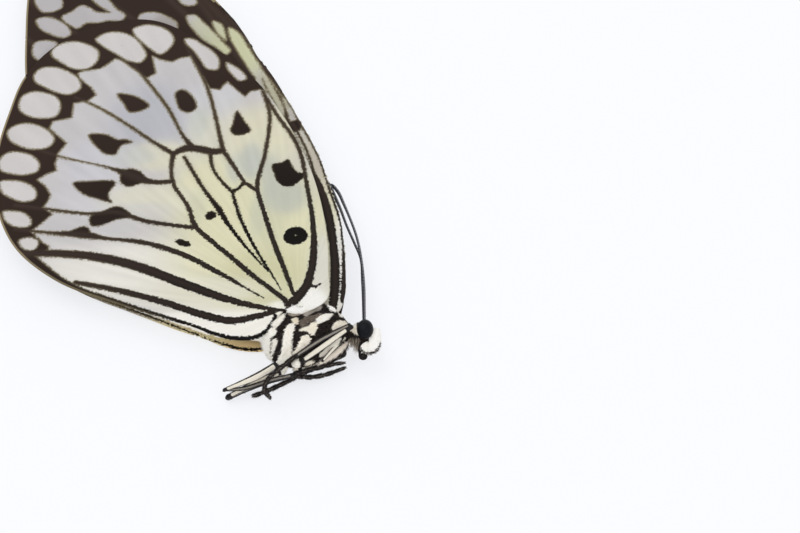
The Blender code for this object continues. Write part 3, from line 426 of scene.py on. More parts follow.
# Palp: x, y and radius of its brush, from the mouth up past the face.
PALP = [(6.4, -0.75, 0.5), (6.92, -1.26, 0.58), (7.4, -1.0, 0.64), (7.66, -0.15, 0.58),
        (7.7, 0.7, 0.5), (7.68, 1.2, 0.38)]
PALP_SPREAD = 0.78  # distance of each palp from the middle plane
PALP_FLAT = 0.8
PALP_COAT = 0.08  # how far its skin lies inside the brush
LEFT_PALP_RISE = 0.85  # the left one stands higher up the face
COIL_AT = (6.4, -1.78, MID_Z)
COIL_TURNS = 2.6
ANTENNA_RINGS = 46
# Stem of the proboscis between mouth and coil: x, y and radius.
STEM = [(5.8, 0.3, 0.26), (5.87, -0.25, 0.26), (5.95, -0.85, 0.22), (5.98, -1.4, 0.16)]
# Antennae: x, y and z from the forehead to the tip.
ANTENNAE = {
    "antenna_right": [(6.5, 2.3, 3.4), (6.46, 4.5, 3.2), (6.38, 7.68, 2.9), (5.99, 12.0, 2.5),
                      (5.43, 15.32, 2.2), (4.31, 19.23, 1.75), (3.68, 21.05, 1.6),
                      (3.04, 22.75, 1.5), (2.14, 24.2, 1.4)],
    "antenna_left": [(6.4, 2.3, 2.1), (6.3, 5.6, 1.9), (6.12, 9.6, 1.6), (5.86, 13.06, 1.3),
                     (5.05, 15.56, 1.0), (4.1, 18.3, 0.7), (3.2, 21.23, 0.5), (2.5, 23.15, 0.4),
                     (1.75, 25.2, 0.38)],
}
# Legs: x, y, z and radius of each length.
LEGS = {
    "midleg_right": {
        "trochanter": [(-1.45, -3.35, 4.3, 0.42), (-1.1, -3.72, 4.3, 0.56),
                       (-0.75, -3.6, 4.3, 0.42)],
        "femur": [(-0.6, -3.4, 4.3, 0.36), (1.5, -1.75, 4.5, 0.4), (4.6, 0.72, 4.75, 0.34)],
        "tibia": [(4.9, 1.15, 4.95, 0.24), (1.5, -1.1, 5.1, 0.3), (-1.3, -3.35, 5.15, 0.28)],
        "tarsus": [(-1.3, -3.35, 5.15, 0.26), (-2.9, -4.7, 4.9, 0.25), (-4.3, -5.75, 4.2, 0.24),
                   (-4.75, -6.2, 2.8, 0.22), (-4.2, -6.3, 1.0, 0.2)],
    },
    "midleg_left": {
        "femur": [(-1.1, -2.6, 1.5, 0.34), (1.5, -1.45, 1.35, 0.36), (4.0, -0.2, 1.2, 0.28)],
        "tibia": [(4.05, -0.3, 0.55, 0.25), (1.5, -1.4, 0.36, 0.27), (-1.4, -3.05, 0.3, 0.25)],
        "tarsus": [(-1.4, -3.05, 0.3, 0.25), (-2.8, -3.9, 0.3, 0.26), (-4.75, -4.95, 0.3, 0.27),
                   (-6.25, -5.6, 0.28, 0.24)],
    },
    "hindleg_right": {
        "femur": [(-3.3, -3.75, 4.25, 0.46), (-5.0, -4.6, 3.6, 0.44), (-9.35, -5.72, 1.9, 0.2)],
        "tibia": [(-9.3, -5.72, 1.78, 0.18), (-6.9, -5.5, 1.95, 0.26), (-4.5, -4.75, 2.2, 0.26),
                  (-1.6, -3.85, 2.1, 0.25)],
        "tarsus": [(-1.6, -3.75, 2.1, 0.25), (0.5, -3.05, 2.0, 0.28), (2.5, -2.45, 2.0, 0.26),
                   (4.2, -2.12, 1.9, 0.15)],
    },
    "hindleg_left": {
        "femur": [(-3.1, -3.2, 1.6, 0.4), (-4.75, -3.95, 1.6, 0.36), (-9.0, -5.95, 0.85, 0.27)],
        "tibia": [(-9.0, -5.95, 0.42, 0.27), (-7.5, -5.15, 0.5, 0.26), (-4.6, -3.95, 0.62, 0.25),
                  (-1.7, -3.4, 1.1, 0.24)],
        "tarsus": [(-1.7, -3.4, 1.1, 0.22), (-0.4, -3.5, 1.05, 0.25), (0.7, -3.46, 1.0, 0.26),
                   (1.85, -3.15, 0.9, 0.25), (4.25, -2.1, 0.8, 0.18)],
    },
    "foreleg_right": {
        "femur": [(4.45, 0.55, 3.5, 0.26), (3.2, -1.05, 3.7, 0.25), (1.75, -3.05, 3.7, 0.16)],
    },
    "foreleg_left": {
        "brush": [(4.5, 0.05, 2.7, 0.34), (3.6, -1.1, 2.75, 0.42), (2.4, -2.1, 2.75, 0.36),
                  (1.4, -2.75, 2.75, 0.2)],
    },
}
LENGTH_LOOKS = {  # pale colour, width and shift of its stripe, bristles per square mm and length
    "trochanter": ("#f6f2e6", 1.5, 0.0, 20.0, 0.8),
    "femur": ("#f3ecdb", 0.66, 0.1, 20.0, 0.8),
    "tibia": ("#8b867e", 0.4, 0.0, 26.0, 0.9),
    "tarsus": ("#3b3534", 0.1, 0.0, 110.0, 1.2),
    "brush": ("#efe6da", 0.62, -0.08, 190.0, 3.0),
}
TOWARD_EYE = (0.0, -0.574, 0.819)  # the side of the legs that shows


def srgb(hexes):
    """A hex colour as linear red, green and blue."""
    values = np.array([int(hexes[i:i + 2], 16) for i in (1, 3, 5)]) / 255
    return np.where(values <= 0.04045, values / 12.92, ((values + 0.055) / 1.055) ** 2.4)


def colour(hexes):
    """The same with full alpha, as a colour socket takes it."""
    return (*srgb(hexes), 1.0)


def smooth(rows, step, closed=False):
    """Rows about step apart on a smooth curve through the given ones."""
    knots = np.array(rows, float)
    if closed:
        knots = np.vstack([knots[-1:], knots, knots[:2]])
    gaps = np.linalg.norm(np.diff(knots[:, :min(3, knots.shape[1])], axis=0), axis=1)[:, None]
    slopes = np.diff(knots, axis=0) / gaps
    tangents = np.vstack([slopes[:1], slopes, slopes[-1:]])
    tangents = 0.5 * (tangents[1:] + tangents[:-1])
    tangents[1:-1] = (slopes[:-1] * gaps[1:] + slopes[1:] * gaps[:-1]) / (gaps[:-1] + gaps[1:])
    first = 1 if closed else 0
    last = len(knots) - 2 if closed else len(knots) - 1
    made = []
    for i in range(first, last):
        count = max(1, round(float(gaps[i, 0]) / step))
        for k in range(count):
            t = k / count
            start = (1 + 2 * t) * (1 - t) ** 2 * knots[i] + t * (1 - t) ** 2 * gaps[i] * tangents[i]
            end = t * t * (3 - 2 * t) * knots[i + 1] + t * t * (t - 1) * gaps[i] * tangents[i + 1]
            made.append(start + end)
    if not closed:
        made.append(knots[-1])
    return np.array(made)


def close_by(points, line, reach):
    """Which points lie within reach of a line's box."""
    low, high = line.min(axis=0) - reach, line.max(axis=0) + reach
    return np.nonzero(((points >= low) & (points <= high)).all(axis=1))[0]


def from_line(points, line, closed=False):
    """Distance to a line, the nearest point on it and how many rows along it that is."""
    ends = np.roll(line, -1, axis=0) if closed else line[1:]
    starts = line if closed else line[:-1]
    best = np.full(len(points), 1e9)
    nearest = np.zeros((len(points), 2))
    along = np.zeros(len(points))
    for k, (a, b) in enumerate(zip(starts, ends)):
        span = b - a
        t = np.clip(((points - a) @ span) / max(span @ span, 1e-12), 0, 1)
        at = a + t[:, None] * span
        away = np.linalg.norm(points - at, axis=1)
        better = away < best
        best[better] = away[better]
        nearest[better] = at[better]
        along[better] = k + t[better]
    return best, nearest, along


def inside(points, ring):
    """Which points lie in a ring, from how often its sides cross a line beside them."""
    x, y = points[:, 0], points[:, 1]
    odd = np.zeros(len(points), bool)
    for (x0, y0), (x1, y1) in zip(ring, np.roll(ring, -1, axis=0)):
        if y0 != y1:
            odd ^= ((y0 > y) != (y1 > y)) & (x < (x1 - x0) * (y - y0) / (y1 - y0) + x0)
    return odd


def depth_in(points, ring, reach):
    """How deep points lie inside a ring, negative outside and -reach beyond reach."""
    made = np.full(len(points), -reach)
    some = close_by(points, ring, reach)
    away = np.minimum(from_line(points[some], ring, closed=True)[0], 1e3)
    made[some] = np.where(inside(points[some], ring), away, -away)
    return np.maximum(made, -reach)


def wing_marks(points, veins, folds, spots, field, margin_spots):
    """How deep each point lies in a dark mark, and how much a vein swells there."""
    reach = MARK_REACH
    field_ring = np.array(field, float)
    rim_depth = depth_in(points, field_ring, 60.0)
    mark = np.maximum(-rim_depth, -reach)
    swell = np.zeros(len(points))
    for routes, raises in ((veins, True), (folds, False)):
        for route in routes.values():
            rows = smooth(route, LINE_STEP)
            line = rows[:, :2]
            some = close_by(points, line, reach)
            away, _, along = from_line(points[some], line)
            half = np.interp(along, np.arange(len(rows)), rows[:, 2]) * LINE_HALF + 0.02
            mark[some] = np.maximum(mark[some], half - away)
            if raises:
                raised = np.clip(1 - away / (half + 0.15), 0, 1)
                swell[some] = np.maximum(swell[some], raised ** 0.7)
    for spot in spots:
        mark = np.maximum(mark, depth_in(points, smooth(spot, SPOT_STEP, closed=True), reach))
    for spot in margin_spots:
        mark = np.minimum(mark, -depth_in(points, smooth(spot, SPOT_STEP, closed=True), reach))
    return mark, swell


def ground(points, base, zones):
    """The pale colour under the marks, as linear colour rows, with streaks from the root."""
    made = np.array(base)
    for x, y, wide, tall, hexes, strength in zones:
        away = np.hypot((points[:, 0] - x) / wide, (points[:, 1] - y) / tall)
        weight = strength * (1 / (1 + np.exp(7 * (away - 0.95))))[:, None]
        made = made * (1 - weight) + srgb(hexes) * weight
    angle = np.arctan2(points[:, 1] - HINGE[1], points[:, 0] - HINGE[0])
    reach = np.hypot(points[:, 0] - HINGE[0], points[:, 1] - HINGE[1])
    streak = [noise.noise(Vector((a * 34, r / 9, 0))) for a, r in zip(angle, reach)]
    return made * (1 + STREAK * np.array(streak))[:, None]


def wing_grid(edge, lines, step):
    """Points and triangles of a flat wing whose sides follow its edge and its veins."""
    ring = smooth(edge, EDGE_STEP, closed=True)
    low, high = ring.min(axis=0) - step, ring.max(axis=0) + step
    rise_step = step * math.sqrt(0.75)
    rows = int((high[1] - low[1]) / rise_step) + 2
    columns = int((high[0] - low[0]) / step) + 2
    row, column = np.meshgrid(np.arange(rows), np.arange(columns), indexing="ij")
    points = np.column_stack([(low[0] + (column + 0.5 * (row % 2)) * step).ravel(),
                              (low[1] + row * rise_step).ravel()])
    index = np.arange(rows * columns).reshape(rows, columns)
    a, b = index[:-1, :-1], index[:-1, 1:]
    c, d = index[1:, :-1], index[1:, 1:]
    even = (row[:-1, :-1] % 2 == 0)
    first = np.where(even[..., None], np.stack([a, b, c], -1), np.stack([a, b, d], -1))
    second = np.where(even[..., None], np.stack([b, d, c], -1), np.stack([a, d, c], -1))
    triangles = np.concatenate([first.reshape(-1, 3), second.reshape(-1, 3)])
    for line in lines:
        some = close_by(points, line, step)
        away, nearest, _ = from_line(points[some], line)
        snap = away < 0.45 * step
        points[some[snap]] = nearest[snap]
    some = close_by(points, ring, step)
    away, nearest, _ = from_line(points[some], ring, closed=True)
    snap = away < 0.5 * step
    points[some[snap]] = nearest[snap]
    kept = triangles[inside(points[triangles].mean(axis=1), ring)]
    used, kept = np.unique(kept, return_inverse=True)
    return points[used], kept.reshape(-1, 3), ring


def rise(points):
    """How far the right wings stand up toward their roots."""
    reach = ((points - np.array(HINGE)) ** 2).sum(axis=1) / RISE_REACH ** 2
    return ROOT_RISE / (1 + reach)


def make_mesh(name, points, faces):
    """A mesh, still in millimetres, from rows of points and faces."""
    mesh = bpy.data.meshes.new(name)
    mesh.from_pydata(points.tolist(), [], faces.tolist() if hasattr(faces, "tolist") else faces)
    mesh.update()
    return mesh


def set_floats(mesh, name, values):
    """A number at each point, for a material or a coat to read."""
    mesh.attributes.new(name, "FLOAT", "POINT").data.foreach_set("value", np.asarray(values, float))


def set_vectors(mesh, name, rows):
    """A vector at each point."""
    mesh.attributes.new(name, "FLOAT_VECTOR", "POINT").data.foreach_set("vector", rows.ravel())


def set_rgb(mesh, name, rows):
    """A linear colour at each point."""
    full = np.column_stack([rows, np.ones(len(rows))])
    mesh.attributes.new(name, "FLOAT_COLOR", "POINT").data.foreach_set("color", full.ravel())


def add_object(name, data):
    """A new object, put in the scene."""
    made = bpy.data.objects.new(name, data)
    bpy.context.scene.collection.objects.link(made)
    return made


def place(name, mesh, material, replaced):
    """Turn a finished mesh to metres and put it in the scene in place of its CAD nodes."""
    mesh.name = name
    mesh.transform(((MM, 0, 0, 0), (0, MM, 0, 0), (0, 0, MM, 0), (0, 0, 0, 1)))
    if material:
        mesh.materials.clear()
        mesh.materials.append(material)
    mesh.shade_smooth()
    piece = add_object(name, mesh)
    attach(piece, "root")
    if replaced:
        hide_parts(*replaced)
    return piece


def build_wing(name, flat, to_plan, low, rising, material, thinner=0.0):
    """One membrane: two faces and a rim, with its marks as attributes."""
    points, triangles, mark, swell, tint, margin = flat
    plan = to_plan(points)
    base = low + (rise(plan) if rising else 0.0)
    wave = np.array([noise.noise(Vector((x / 9, y / 9, low))) for x, y in points]) * WAVE
    count = len(points)
    swollen = VEIN_SWELL * swell
    upper = np.column_stack([plan, base + MEMBRANE + wave + swollen])
    lower = np.column_stack([plan, base + wave - 0.4 * swollen])
    edges = np.concatenate([triangles[:, [0, 1]], triangles[:, [1, 2]], triangles[:, [2, 0]]])
    codes = edges[:, 0].astype(np.int64) * count + edges[:, 1]
    back = edges[:, 1].astype(np.int64) * count + edges[:, 0]
    rim = edges[~np.isin(codes, back)]
    faces = np.concatenate([
        triangles, triangles[:, ::-1] + count,
        np.column_stack([rim[:, 1], rim[:, 0], rim[:, 0] + count]),
        np.column_stack([rim[:, 1], rim[:, 0] + count, rim[:, 1] + count]),
    ])
    mesh = make_mesh(name, np.concatenate([upper, lower]), faces)
    from_root = np.hypot(points[:, 0] - HINGE[0], points[:, 1] - HINGE[1])
    set_floats(mesh, "mark", np.tile(mark - thinner, 2))
    set_floats(mesh, "vein", np.tile(swell, 2))
    set_floats(mesh, "margin", np.tile(margin, 2))
    set_floats(mesh, "outer", np.tile(np.clip((from_root - OUTER_FROM) / OUTER_REACH, 0, 1), 2))
    set_rgb(mesh, "ground", np.tile(tint, (2, 1)))
    return place(name, mesh, material, [name.replace("_membrane", "")])


def flat_wing(edge, veins, folds, spots, field, margin_spots, base, rim, zones, step,
              fringe_top):
    """A wing as cut flat: grid, marks, swelling, ground colour and distance from the edge.

    Above fringe_top and toward the body the distance is raised, which hides the tan fringe.
    """
    lines = [smooth(route, LINE_STEP)[:, :2] for route in [*veins.values(), *folds.values()]]
    points, triangles, ring = wing_grid(edge, lines, step)
    mark, swell = wing_marks(points, veins, folds, spots, field, margin_spots)
    margin = np.minimum(from_line(points, ring, closed=True)[0], 3.0)
    x, y = points.T
    margin += 3 * np.clip(np.maximum((y - fringe_top) / 1.2, (x + 14) / 2), 0, 1)
    central = inside(points, np.array(field, float))[:, None]
    tint = ground(points, np.where(central, srgb(base), srgb(rim)), zones)
    return points, triangles, mark, swell, tint, margin


def node(tree, kind, inputs=None, **settings):
    """Add a node; an input is a value, another node's socket, or a node for its first output."""
    made = tree.nodes.new(kind)
    for key, value in settings.items():
        setattr(made, key, value)
    for key, value in (inputs or {}).items():
        if isinstance(value, bpy.types.Node):
            value = next(out for out in value.outputs if out.enabled)
        if isinstance(value, bpy.types.NodeSocket):
            tree.links.new(value, made.inputs[key])
        else:
            made.inputs[key].default_value = value
    return made


def new_material(name, roughness, **sockets):
    """A material on the Principled shader, with further sockets given by name."""
    made = bpy.data.materials.new(name)
    made.use_nodes = True
    shader = made.node_tree.nodes["Principled BSDF"]
    shader.inputs["Roughness"].default_value = roughness
    for key, value in sockets.items():
        shader.inputs[key.replace("_", " ")].default_value = value
    return made, made.node_tree, shader


def wing_scales():
    """Rows of tiny flat scales, 0.1 mm long: matt, and a ragged edge where dark meets pale.

    The ragged edge is drawn at 0.22 mm, coarser than the scales are, so that it shows.
    """
    made, tree, shader = new_material("overlapping wing scales", 0.65, Specular_IOR_Level=0.1)
    where = node(tree, "ShaderNodeTexCoord").outputs["Object"]
    teeth = node(tree, "ShaderNodeTexNoise", {"Vector": where, "Scale": 1 / (0.22 * MM),
                                              "Detail": 2.0, "Roughness": 0.6})
    cloud = node(tree, "ShaderNodeTexNoise", {"Vector": where, "Scale": 1 / (2.2 * MM),
                                              "Detail": 4.0, "Roughness": 0.6})
    dust = node(tree, "ShaderNodeTexNoise", {"Vector": where, "Scale": 1 / (0.12 * MM),
                                             "Detail": 1.0})
    mark, outer, margin, vein = (
        node(tree, "ShaderNodeAttribute", attribute_name=kind).outputs["Fac"]
        for kind in ("mark", "outer", "margin", "vein"))
    pale = node(tree, "ShaderNodeAttribute", attribute_name="ground").outputs["Color"]
    edge = node(tree, "ShaderNodeMath", {0: teeth, 1: 0.65, 2: mark}, operation="MULTIPLY_ADD")
    start = node(tree, "ShaderNodeMath", {0: outer, 1: -0.14, 2: 0.29}, operation="MULTIPLY_ADD")
    full = node(tree, "ShaderNodeMath", {0: outer, 1: 0.1, 2: 0.35}, operation="MULTIPLY_ADD")
    dark = node(tree, "ShaderNodeMapRange", {"Value": edge, "From Min": start, "From Max": full},
                interpolation_type="SMOOTHSTEP")
    halo = node(tree, "ShaderNodeMapRange", {"Value": edge, "From Min": 0.02, "From Max": 0.32},
                interpolation_type="SMOOTHSTEP")
    halo = node(tree, "ShaderNodeMath", {0: halo, 1: outer}, operation="MULTIPLY")
    halo = node(tree, "ShaderNodeMath", {0: halo, 1: 0.6}, operation="MULTIPLY")
    cloudy = node(tree, "ShaderNodeMath", {0: cloud, 1: 0.14}, operation="MULTIPLY")
    pale = node(tree, "ShaderNodeMix", {0: cloudy, 6: pale, 7: colour("#9c9c92")}, data_type="RGBA")
    dusty = node(tree, "ShaderNodeMath", {0: dust, 1: 0.14}, operation="MULTIPLY")
    pale = node(tree, "ShaderNodeMix", {0: dusty, 6: pale, 7: colour("#fffdf4")}, data_type="RGBA")
    pale = node(tree, "ShaderNodeMix", {0: halo, 6: pale, 7: colour("#8d8468")}, data_type="RGBA")
    deep = node(tree, "ShaderNodeMix", {0: outer, 6: colour("#0f0a08"), 7: colour("#32251e")},
                data_type="RGBA")
    # Painted highlight: the middle of a raised vein is drawn lighter brown, as light catches its
    # ridge.
    raised = node(tree, "ShaderNodeMath", {0: vein, 1: 0.2}, operation="MULTIPLY")
    deep = node(tree, "ShaderNodeMix", {0: raised, 6: deep, 7: colour("#5c4d44")}, data_type="RGBA")
    thin = node(tree, "ShaderNodeMapRange", {"Value": mark, "From Min": 0.26, "From Max": 0.04})
    thin = node(tree, "ShaderNodeMath", {0: thin, 1: outer}, operation="MULTIPLY")
    deep = node(tree, "ShaderNodeMix", {0: thin, 6: deep, 7: colour("#6b6048")}, data_type="RGBA")
    scales = node(tree, "ShaderNodeMix", {0: dark, 6: pale, 7: deep}, data_type="RGBA")
    fringe = node(tree, "ShaderNodeMapRange", {"Value": margin, "From Min": 0.3, "From Max": 0.14},
                  interpolation_type="SMOOTHSTEP")
    fringe = node(tree, "ShaderNodeMath", {0: fringe, 1: outer}, operation="MULTIPLY")
    scales = node(tree, "ShaderNodeMix", {0: fringe, 6: scales, 7: colour("#97896a")},
                  data_type="RGBA")
    tree.links.new(scales.outputs[2], shader.inputs["Base Color"])
    bump = node(tree, "ShaderNodeBump", {"Height": dust, "Strength": 0.3, "Distance": 0.00003})
    tree.links.new(bump.outputs[0], shader.inputs["Normal"])
    return made


def build_wings():
    """The four membranes; the left pair has the right pair's cut, moved a little."""
    scales = wing_scales()
    hind = flat_wing(HINDWING_EDGE, HINDWING_VEINS, HINDWING_FOLDS, HINDWING_SPOTS, HINDWING_FIELD,
                     HINDWING_MARGIN_SPOTS, "#c1bdbe", "#c9c4c2", HINDWING_GROUND, WING_GRID,
                     HINDWING_FRINGE_TOP)
    fore = flat_wing(FOREWING_EDGE, FOREWING_VEINS, {}, FOREWING_SPOTS, FOREWING_FIELD,
                     FOREWING_MARGIN_SPOTS, "#b4adac", "#b1acae", FOREWING_GROUND, WING_GRID * 1.15,
                     FOREWING_FRINGE_TOP)

    def straight(points):
        return points

    def back(points):
        """The inner edge dips, most at its middle, and its rim is spread a little."""
        x, y = points.T
        sag = LEFT_HIND_SAG * np.exp(-((x + 15) / 5) ** 2 - (y / 6) ** 2)
        sag += 0.12 * np.clip((x + 28) / 6, 0, 1) * np.clip((9 - y) / 4, 0, 1)
        depth = from_line(points, smooth(HINDWING_EDGE, EDGE_STEP, closed=True), closed=True)[0]
        inner = np.clip((x + 29) / 4, 0, 1) * np.clip((10 - y) / 3, 0, 1)
        sag += 0.24 * np.clip(1 - depth / 0.5, 0, 1) * inner
        return np.column_stack([x + LEFT_HIND_ON, y + LEFT_HIND_BACK - sag])

    def turned(points):
        around = points - np.array(LEFT_FORE_PIVOT)
        cos, sin = math.cos(LEFT_FORE_TURN), math.sin(LEFT_FORE_TURN)
        x = around[:, 0] * cos - around[:, 1] * sin - LEFT_FORE_BACK
        y = around[:, 0] * sin + around[:, 1] * cos
        return np.column_stack([x, y]) + np.array(LEFT_FORE_PIVOT)

    build_wing("hindwing_right_membrane", hind, straight, RIGHT_HIND_Z, True, scales)
    build_wing("forewing_right_membrane", fore, straight, RIGHT_FORE_Z, True, scales)
    build_wing("forewing_left_membrane", fore, turned, LEFT_FORE_Z, False, scales)
    # Partly painted light: the tan stands in for the shaded membrane lit through, set brighter to
    # offset the shade above it.
    tan = ground(hind[0], hind[4], LEFT_HIND_TAN)
    left = (*hind[:4], tan, hind[5])
    build_wing("hindwing_left_membrane", left, back, LEFT_HIND_Z, False, scales,
               LEFT_HIND_THINNER)


def skinned(rings):
    """Faces between rings of points, with both ends closed by a fan."""
    count = len(rings[0])
    points = np.concatenate(rings)
    here = np.arange(count)
    after = (here + 1) % count
    faces = []
    for k in range(len(rings) - 1):
        low, high = k * count, (k + 1) * count
        faces.append(np.column_stack([low + here, low + after, high + after]))
        faces.append(np.column_stack([low + here, high + after, high + here]))
    first, last = len(points), len(points) + 1
    points = np.vstack([points, rings[0].mean(axis=0), rings[-1].mean(axis=0)])
    top = (len(rings) - 1) * count
    faces.append(np.column_stack([np.full(count, first), after, here]))
    faces.append(np.column_stack([np.full(count, last), top + here, top + after]))
    return points, np.concatenate(faces)


def shell(rows, grow, sides=48):
    """A closed loft of lens sections: rows give x, y, z, half height and half thickness."""
    turn = np.arange(sides) * 2 * math.pi / sides
    side = np.cos(turn)
    bulge = np.copysign(np.abs(side) ** SECTION_POWER, side)
    rings = [np.column_stack([np.full(sides, x), y + (tall + grow) * np.sin(turn),
                              z + (thick + grow) * bulge]) for x, y, z, tall, thick in rows]
    return skinned(rings)


def ball(centre, half, lean=0.0, sides=24):
    """An ellipsoid that leans about Z, in degrees."""
    turn = np.arange(sides) * 2 * math.pi / sides
    rings = []
    for k in range(1, sides // 2):
        polar = math.pi * k / (sides // 2)
        wide = math.sin(polar)
        rings.append(np.column_stack([wide * np.cos(turn), wide * np.sin(turn),
                                      np.full(sides, -math.cos(polar))]))
    points, faces = skinned(rings)
    points[-2], points[-1] = (0, 0, -1), (0, 0, 1)
    points = points * np.array(half)
    cos, sin = math.cos(math.radians(lean)), math.sin(math.radians(lean))
    points = np.column_stack([points[:, 0] * cos - points[:, 1] * sin,
                              points[:, 0] * sin + points[:, 1] * cos, points[:, 2]])
    return points + np.array(centre), faces


def along_line(line):
    """The way a line runs at each row, and two directions across it that turn little."""
    along = np.gradient(line, axis=0)
    along /= np.linalg.norm(along, axis=1)[:, None]
    across = np.zeros_like(along)
    across[0] = np.cross(along[0], (0, 0, 1) if abs(along[0][2]) < 0.9 else (0, 1, 0))
    across[0] /= np.linalg.norm(across[0])
    for k in range(1, len(line)):
        carried = across[k - 1] - along[k] * (across[k - 1] @ along[k])
        across[k] = carried / np.linalg.norm(carried)
    return along, across, np.cross(along, across)


def tube(rows, sides=14, flat=1.0):
    """A closed tube: rows give x, y, z and radius; flat scales its thickness in Z."""
    line = rows[:, :3]
    _, across, up = along_line(line)
    turn = np.arange(sides) * 2 * math.pi / sides
    rings = []
    for k in range(len(rows)):
        out = rows[k, 3] * (np.cos(turn)[:, None] * across[k] + np.sin(turn)[:, None] * up[k])
        rings.append(line[k] + out * (1, 1, flat))
    return skinned(rings)


def joined(shells):
    """Several shells as one list of points and one of faces."""
    points, faces, shift = [], [], 0
    for some, ring in shells:
        points.append(some)
        faces.append(np.asarray(ring) + shift)
        shift += len(some)
    return np.concatenate(points), np.concatenate(faces)


def unit(rows):
    """Rows scaled to a length of one."""
    return rows / (np.linalg.norm(rows, axis=-1, keepdims=True) + 1e-9)


def evaluated(thing):
    """The plain mesh that an object's modifiers give; the object is removed."""
    depsgraph = bpy.context.evaluated_depsgraph_get()
    made = bpy.data.meshes.new_from_object(thing.evaluated_get(depsgraph), depsgraph=depsgraph)
    bpy.data.objects.remove(thing, do_unlink=True)
    return made


def mesh_rows(mesh, kind):
    """A mesh's points (co) or its normals (normal) as rows."""
    rows = np.empty(len(mesh.vertices) * 3)
    mesh.vertices.foreach_get(kind, rows)
    return rows.reshape(-1, 3)


def body_rows(stations, sink=0.0):
    """Close rows along the body, which may sink toward the tip."""
    rows = smooth(stations, 0.4)
    z = MID_Z + np.minimum(rows[:, 0] + 5.0, 0) * sink
    return np.column_stack([rows[:, :2], z, rows[:, 2:]])


def body_skin():
    """Thorax, abdomen, neck and head as one skin, without seams."""
    shells = [shell(body_rows(THORAX), -COAT_DEPTH),
              shell(body_rows(ABDOMEN, ABDOMEN_SINK), -COAT_DEPTH),
              tube(smooth(NECK, 0.3), 32), ball(HEAD_AT, HEAD_HALF, sides=40)]
    for (x, y, z), half, lean in SWELLINGS.values():
        for side in (1, -1):
            shells.append(ball((x, y, MID_Z + side * z), half, lean))
    lump = add_object("lump", make_mesh("lump", *joined(shells)))
    merge = lump.modifiers.new("one skin", "REMESH")
    merge.mode = "VOXEL"
    merge.voxel_size = SKIN_GRID
    ease = lump.modifiers.new("ease", "SMOOTH")
    ease.factor = 0.5
    ease.iterations = 5
    skin = evaluated(lump)
    points = mesh_rows(skin, "co")
    phase = (ABDOMEN_FROM - points[:, 0]) / SEGMENT
    ring = np.abs(phase - np.round(phase)) * SEGMENT
    groove = GROOVE * np.exp(-(ring / GROOVE_HALF) ** 2) * (phase > 0.3) * (phase < 7.6)
    points -= unit(mesh_rows(skin, "normal")) * groove[:, None]
    points[:, 2] = np.maximum(points[:, 2], 0.06)
    skin.vertices.foreach_set("co", points.ravel())
    skin.update()
    return skin, points


def body_marks(points):
    """Depth in the pale patches and their colour; the hidden side is the mirror image."""
    height = np.maximum(points[:, 2], 2 * MID_Z - points[:, 2])
    seen = np.column_stack([points[:, 0], points[:, 1] - SEEN_SLOPE * (SEEN_HEIGHT - height)])
    pale = np.full(len(points), -1.0)
    light = np.tile(srgb("#f6f3ea"), (len(points), 1))
    for hexes, outline in BODY_PATCHES.values():
        depth = depth_in(seen, smooth(outline, PATCH_STEP, closed=True), 1.0)
        light[depth > pale] = srgb(hexes)
        pale = np.maximum(pale, depth)
    middle = np.interp(points[:, 0], [row[0] for row in ABDOMEN[::-1]],
                       [row[1] for row in ABDOMEN[::-1]])
    phase = (ABDOMEN_FROM - points[:, 0]) / SEGMENT
    ring = (phase - np.floor(phase)) * SEGMENT
    below = np.clip(middle - points[:, 1] - 0.3, -1, 1)
    spot = 0.45 - np.hypot(points[:, 1] - middle - 0.75, (ring - 1.3) * 0.8)
    tail = points[:, 0] < ABDOMEN_FROM
    pale[tail] = np.maximum(below, spot)[tail]
    return pale, light


def body_axis(points):
    """How far up the body's own middle lies, for its unwrap."""
    rows = [(row[0], row[1]) for row in ABDOMEN[::-1] + THORAX[1:]] + [HEAD_AT[:2]]
    return np.interp(points[:, 0], [row[0] for row in rows], [row[1] for row in rows])


def tuft_mesh():
    """One tuft of scale hairs: a three-sided blade of nine triangles, rooted at the origin."""
    points = [(-0.5, 0.0, 0.0), (0.5, 0.0, 0.0), (0.0, 0.25, 0.0),
              (-0.42, 0.1, 0.55), (0.42, 0.1, 0.55), (0.0, 0.36, 0.55), (0.0, 0.5, 1.0)]
    faces = [(0, 1, 4, 3), (1, 2, 5, 4), (2, 0, 3, 5), (3, 4, 6), (4, 5, 6), (5, 3, 6)]
    mesh = bpy.data.meshes.new("tuft")
    mesh.from_pydata(points, [], faces)
    layer = mesh.uv_layers.new(name="blade")
    for loop in mesh.loops:
        x, y, z = points[loop.vertex_index]
        layer.data[loop.index].uv = (x, z - 0.5)
    return add_object("tuft", mesh)


